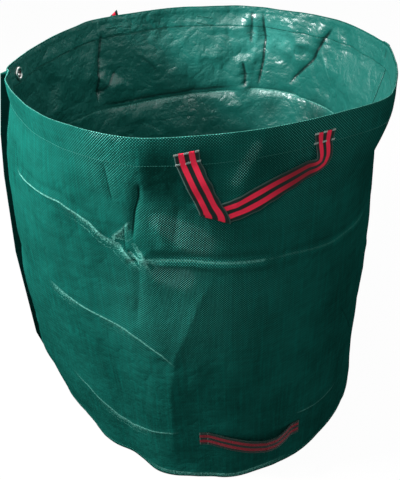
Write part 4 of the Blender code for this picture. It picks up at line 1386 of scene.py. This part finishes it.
# %% [markdown]
# ## Stitches that hold the handles
# Each sewn end has two rows of tight grey zigzag straight across it, at its cut edge and where the
# strap leaves the wall. They show on the dark stripes and sink into the soft red yarns. They use the
# same bead as the seams, closer together.

# %% Handle stitches
TAB_ROWS = (0.0010, 0.0158)
TAB_MARGIN = -0.0005        # the rows run just past the webbing's edges
ZIGZAG_STEP, ZIGZAG_LEAN = 0.0012, 0.0017
ZIGZAG_RADIUS = 0.00042
RED_STRIPES = ((0.19, 0.39), (0.60, 0.81))      # shares of the width


def tab_stitches(name, start, level, foot, run, face, node):
    """Rows of stitches across a sewn end that starts at foot and runs along run."""
    cross = Vector((run.y, -run.x))
    side = 1 if face == "outer" else -1
    out = WEB_OUT + WEB / 2 + 0.0001 if face == "outer" else -LIE
    begin, end = [], []
    reach = WEB_WIDTH / 2 - TAB_MARGIN
    for offset in TAB_ROWS:
        for a in np.arange(-reach, reach - ZIGZAG_STEP * 0.5, ZIGZAG_STEP):
            share = 0.5 + a / WEB_WIDTH
            if face == "outer" and any(low < share < high for low, high in RED_STRIPES):
                continue
            for ends, shift, slant in ((begin, a, -ZIGZAG_LEAN), (end, a + ZIGZAG_STEP * 0.85, ZIGZAG_LEAN)):
                place = foot + run * (offset + slant) + cross * shift
                ends.append((start + float(arc(place.x)), level + place.y))
    begin, end = np.array(begin), np.array(end)
    if face == "inner" and level > hem_edge:
        out = out - hem_depth(np.maximum(begin[:, 1], end[:, 1]))
    low, high = on_wall(begin[:, 0], begin[:, 1], out), on_wall(end[:, 0], end[:, 1], out)
    outward = on_wall(begin[:, 0], begin[:, 1], out + side * 0.01) - low
    outward /= np.linalg.norm(outward, axis=1, keepdims=True)
    return stitches(name, low, high, outward, node, ZIGZAG_RADIUS)


# %% Sew the handles on
tilt = radians(TAB_TILT)
lower_foot = Vector((LOWER_SPAN, -LOWER_STRAP[-1][1]))
for place, turn in (("front", 0.0), ("back", BACK_TURN)):
    top_start = turn + TOP_AZIMUTH - arc(TOP_SPAN / 2)
    lower_start = turn + LOWER_AZIMUTH - arc(LOWER_SPAN / 2)
    sewn_ends = (
        (f"top_{place}", "left", top_start, top_height, Vector((0, 0)), Vector((-sin(tilt), cos(tilt)))),
        (f"top_{place}", "right", top_start, top_height, Vector((TOP_SPAN, 0)), Vector((0, 1))),
        (f"lower_{place}", "left", lower_start, LOWER_HEIGHT, Vector((0, 0)), Vector((-1, 0))),
        (f"lower_{place}", "right", lower_start, LOWER_HEIGHT, lower_foot, Vector((1, 0))),
    )
    for handle_name, side_name, start, level, foot, run in sewn_ends:
        for face in ("outer", "inner"):
            name = f"{handle_name}_sewing_{side_name}_{face}"
            node = f"{handle_name}_stitches_{side_name}_{face}"
            thread_pieces.append(tab_stitches(name, start, level, foot, run, face, node))
print(len(thread_pieces), "pieces of stitching in all")

# %% [markdown]
# ## Thread, steel and plastic
# The thread is twisted polyester with a soft shine, green in the seams and grey on the handles,
# painted darker as shade on the lower ones. The eyelet and its washer are pressed sheet steel,
# bright where hands polish them, with painted shade making the eyelet's barrel nearly black. The
# hoop is black plastic strip, hidden in the hem. The washer keeps its measured solid.


# %% Thread, metal and plastic materials
def sewing_thread(name, dark, light):
    n = Nodes(name)
    place = n.add("TexCoord", output=3)
    twist = n.add("TexWave", {"Vector": place, "Scale": 700.0, "Distortion": 2.0}, output=1)
    n.set(Base_Color=n.mix(twist, dark, light))
    n.set(Roughness=0.5, Specular_IOR_Level=0.2)
    return n.material


def pressed_steel(name, bright, lit_cloth_and_rubbed_steel):
    n = Nodes(name)
    place = n.add("TexCoord", output=3)
    scuff = n.add("TexNoise", {"Vector": place, "Scale": 900.0, "Detail": 4.0})
    polished, worn = (bright, bright, bright * 0.97, 1), (lit_cloth_and_rubbed_steel, lit_cloth_and_rubbed_steel * 0.98, lit_cloth_and_rubbed_steel * 0.94, 1)
    n.set(Metallic=1.0, Base_Color=n.mix(n.ramp(scuff, 0.45, 0.8), polished, worn))
    n.set(Roughness=n.add("MapRange", {"Value": scuff, "To Min": 0.16, "To Max": 0.38}))
    n.set(Normal=n.add("Bump", {"Height": scuff, "Strength": 0.15, "Distance": 0.0002}))
    return n.material


def springy_plastic():
    n = Nodes("springy plastic strip")
    place = n.add("TexCoord", output=3)
    grain = n.add("TexNoise", {"Vector": place, "Scale": 1200.0, "Detail": 2.0})
    n.set(Base_Color=n.mix(grain, (0.035, 0.035, 0.036, 1), (0.060, 0.060, 0.062, 1)), Roughness=0.5)
    n.set(Normal=n.add("Bump", {"Height": grain, "Strength": 0.1, "Distance": 0.0001}))
    return n.material


green_thread = sewing_thread("green polyester thread", (0.010, 0.120, 0.096, 1), (0.030, 0.210, 0.170, 1))
grey_thread = sewing_thread("grey polyester thread", (0.22, 0.30, 0.27, 1), (0.50, 0.60, 0.56, 1))
# Grey thread painted darker as shade, for the lower handles.
shaded_thread = sewing_thread("soiled grey thread", (0.016, 0.028, 0.024, 1), (0.045, 0.070, 0.060, 1))
for piece in thread_pieces:
    on_webbing = "sewing" in piece.name and piece.name.endswith("outer")
    grey = shaded_thread if piece.name.startswith("lower") else grey_thread
    piece.data.materials.append(grey if on_webbing else green_thread)
hoop_strip.data.materials.append(springy_plastic())
steel = pressed_steel("pressed steel", 0.74, 0.48)
# Steel painted nearly black as shade, for the eyelet's barrel.
barrel_shade_steel = pressed_steel("steel painted dark in the barrel", 0.05, 0.02)
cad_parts["eyelet_washer"].data.materials.clear()
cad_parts["eyelet_washer"].data.materials.append(steel)

# %% [markdown]
# ## The eyelet
# A ring is pressed through the hem from inside and rolled over the washer. Its section is turned
# round the hole. The Screw modifier would turn it too, but here each ring of faces takes its own
# finish: bright where it is touched, and painted nearly black as shade down in the barrel.

# %% Turn the eyelet
EYELET_BORE, EYELET_FLANGE, EYELET_METAL = 0.013, 0.025, 0.0006
EYELET_DOME = 0.0024        # how far the ring swells into the bag
EYELET_ROUND = 72           # steps round the hole
BARREL_SHADE_FACES = range(9, 15)   # the barrel's part of the section, painted dark as shade


def turned_eyelet():
    washer = np.array([v.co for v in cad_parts["eyelet_washer"].data.vertices])
    ring = np.array([v.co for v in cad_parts["eyelet"].data.vertices])
    middle = washer.mean(axis=0)
    outward = np.linalg.svd(washer - middle)[2][2]
    outward *= np.sign(outward @ middle)
    inside = ((ring - middle) @ outward).min() + 2 * EYELET_METAL
    outside = ((ring - middle) @ outward).max()
    bore, flange = EYELET_BORE / 2, EYELET_FLANGE / 2
    section = [(flange, inside)]
    for step in range(1, 10):
        turn = pi * step / 10
        section.append((bore + (flange - bore) * (1 + cos(turn)) / 2,
                        inside - EYELET_DOME * sin(turn) ** 0.8))
    section += [(bore, inside + (outside - inside) * k / 4) for k in range(5)]
    lip = 2 * EYELET_METAL
    for step in range(1, 7):
        turn = pi * step / 6
        section.append((bore + lip * (1 - cos(turn)) / 1.4, outside + 0.7 * lip * sin(turn)))
    section += [(bore + EYELET_METAL, outside - EYELET_METAL / 2), (bore + EYELET_METAL, inside)]
    side = np.cross(outward, (0, 0, 1))
    side /= np.linalg.norm(side)
    upward = np.cross(side, outward)
    corners = []
    for k in range(EYELET_ROUND):
        turn = 2 * pi * k / EYELET_ROUND
        spoke = side * cos(turn) + upward * sin(turn)
        corners += [tuple(middle + spoke * r + outward * h) for r, h in section]
    count = len(section)
    faces, finish = [], []
    for k in range(EYELET_ROUND):
        a, b = k * count, (k + 1) % EYELET_ROUND * count
        for i in range(count):
            j = (i + 1) % count
            faces.append((a + i, a + j, b + j, b + i))
            finish.append(int(i in BARREL_SHADE_FACES))
    mesh = bpy.data.meshes.new("turned_eyelet")
    mesh.from_pydata(corners, [], faces)
    mesh.materials.append(steel)
    mesh.materials.append(barrel_shade_steel)
    mesh.polygons.foreach_set("material_index", finish)
    mesh.shade_smooth()
    piece = in_scene("turned_eyelet", mesh)
    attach(piece, "bag")
    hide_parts("eyelet")
    print("eyelet is", round(float(outside - inside) * 1000, 1), "mm through the hem")


turned_eyelet()
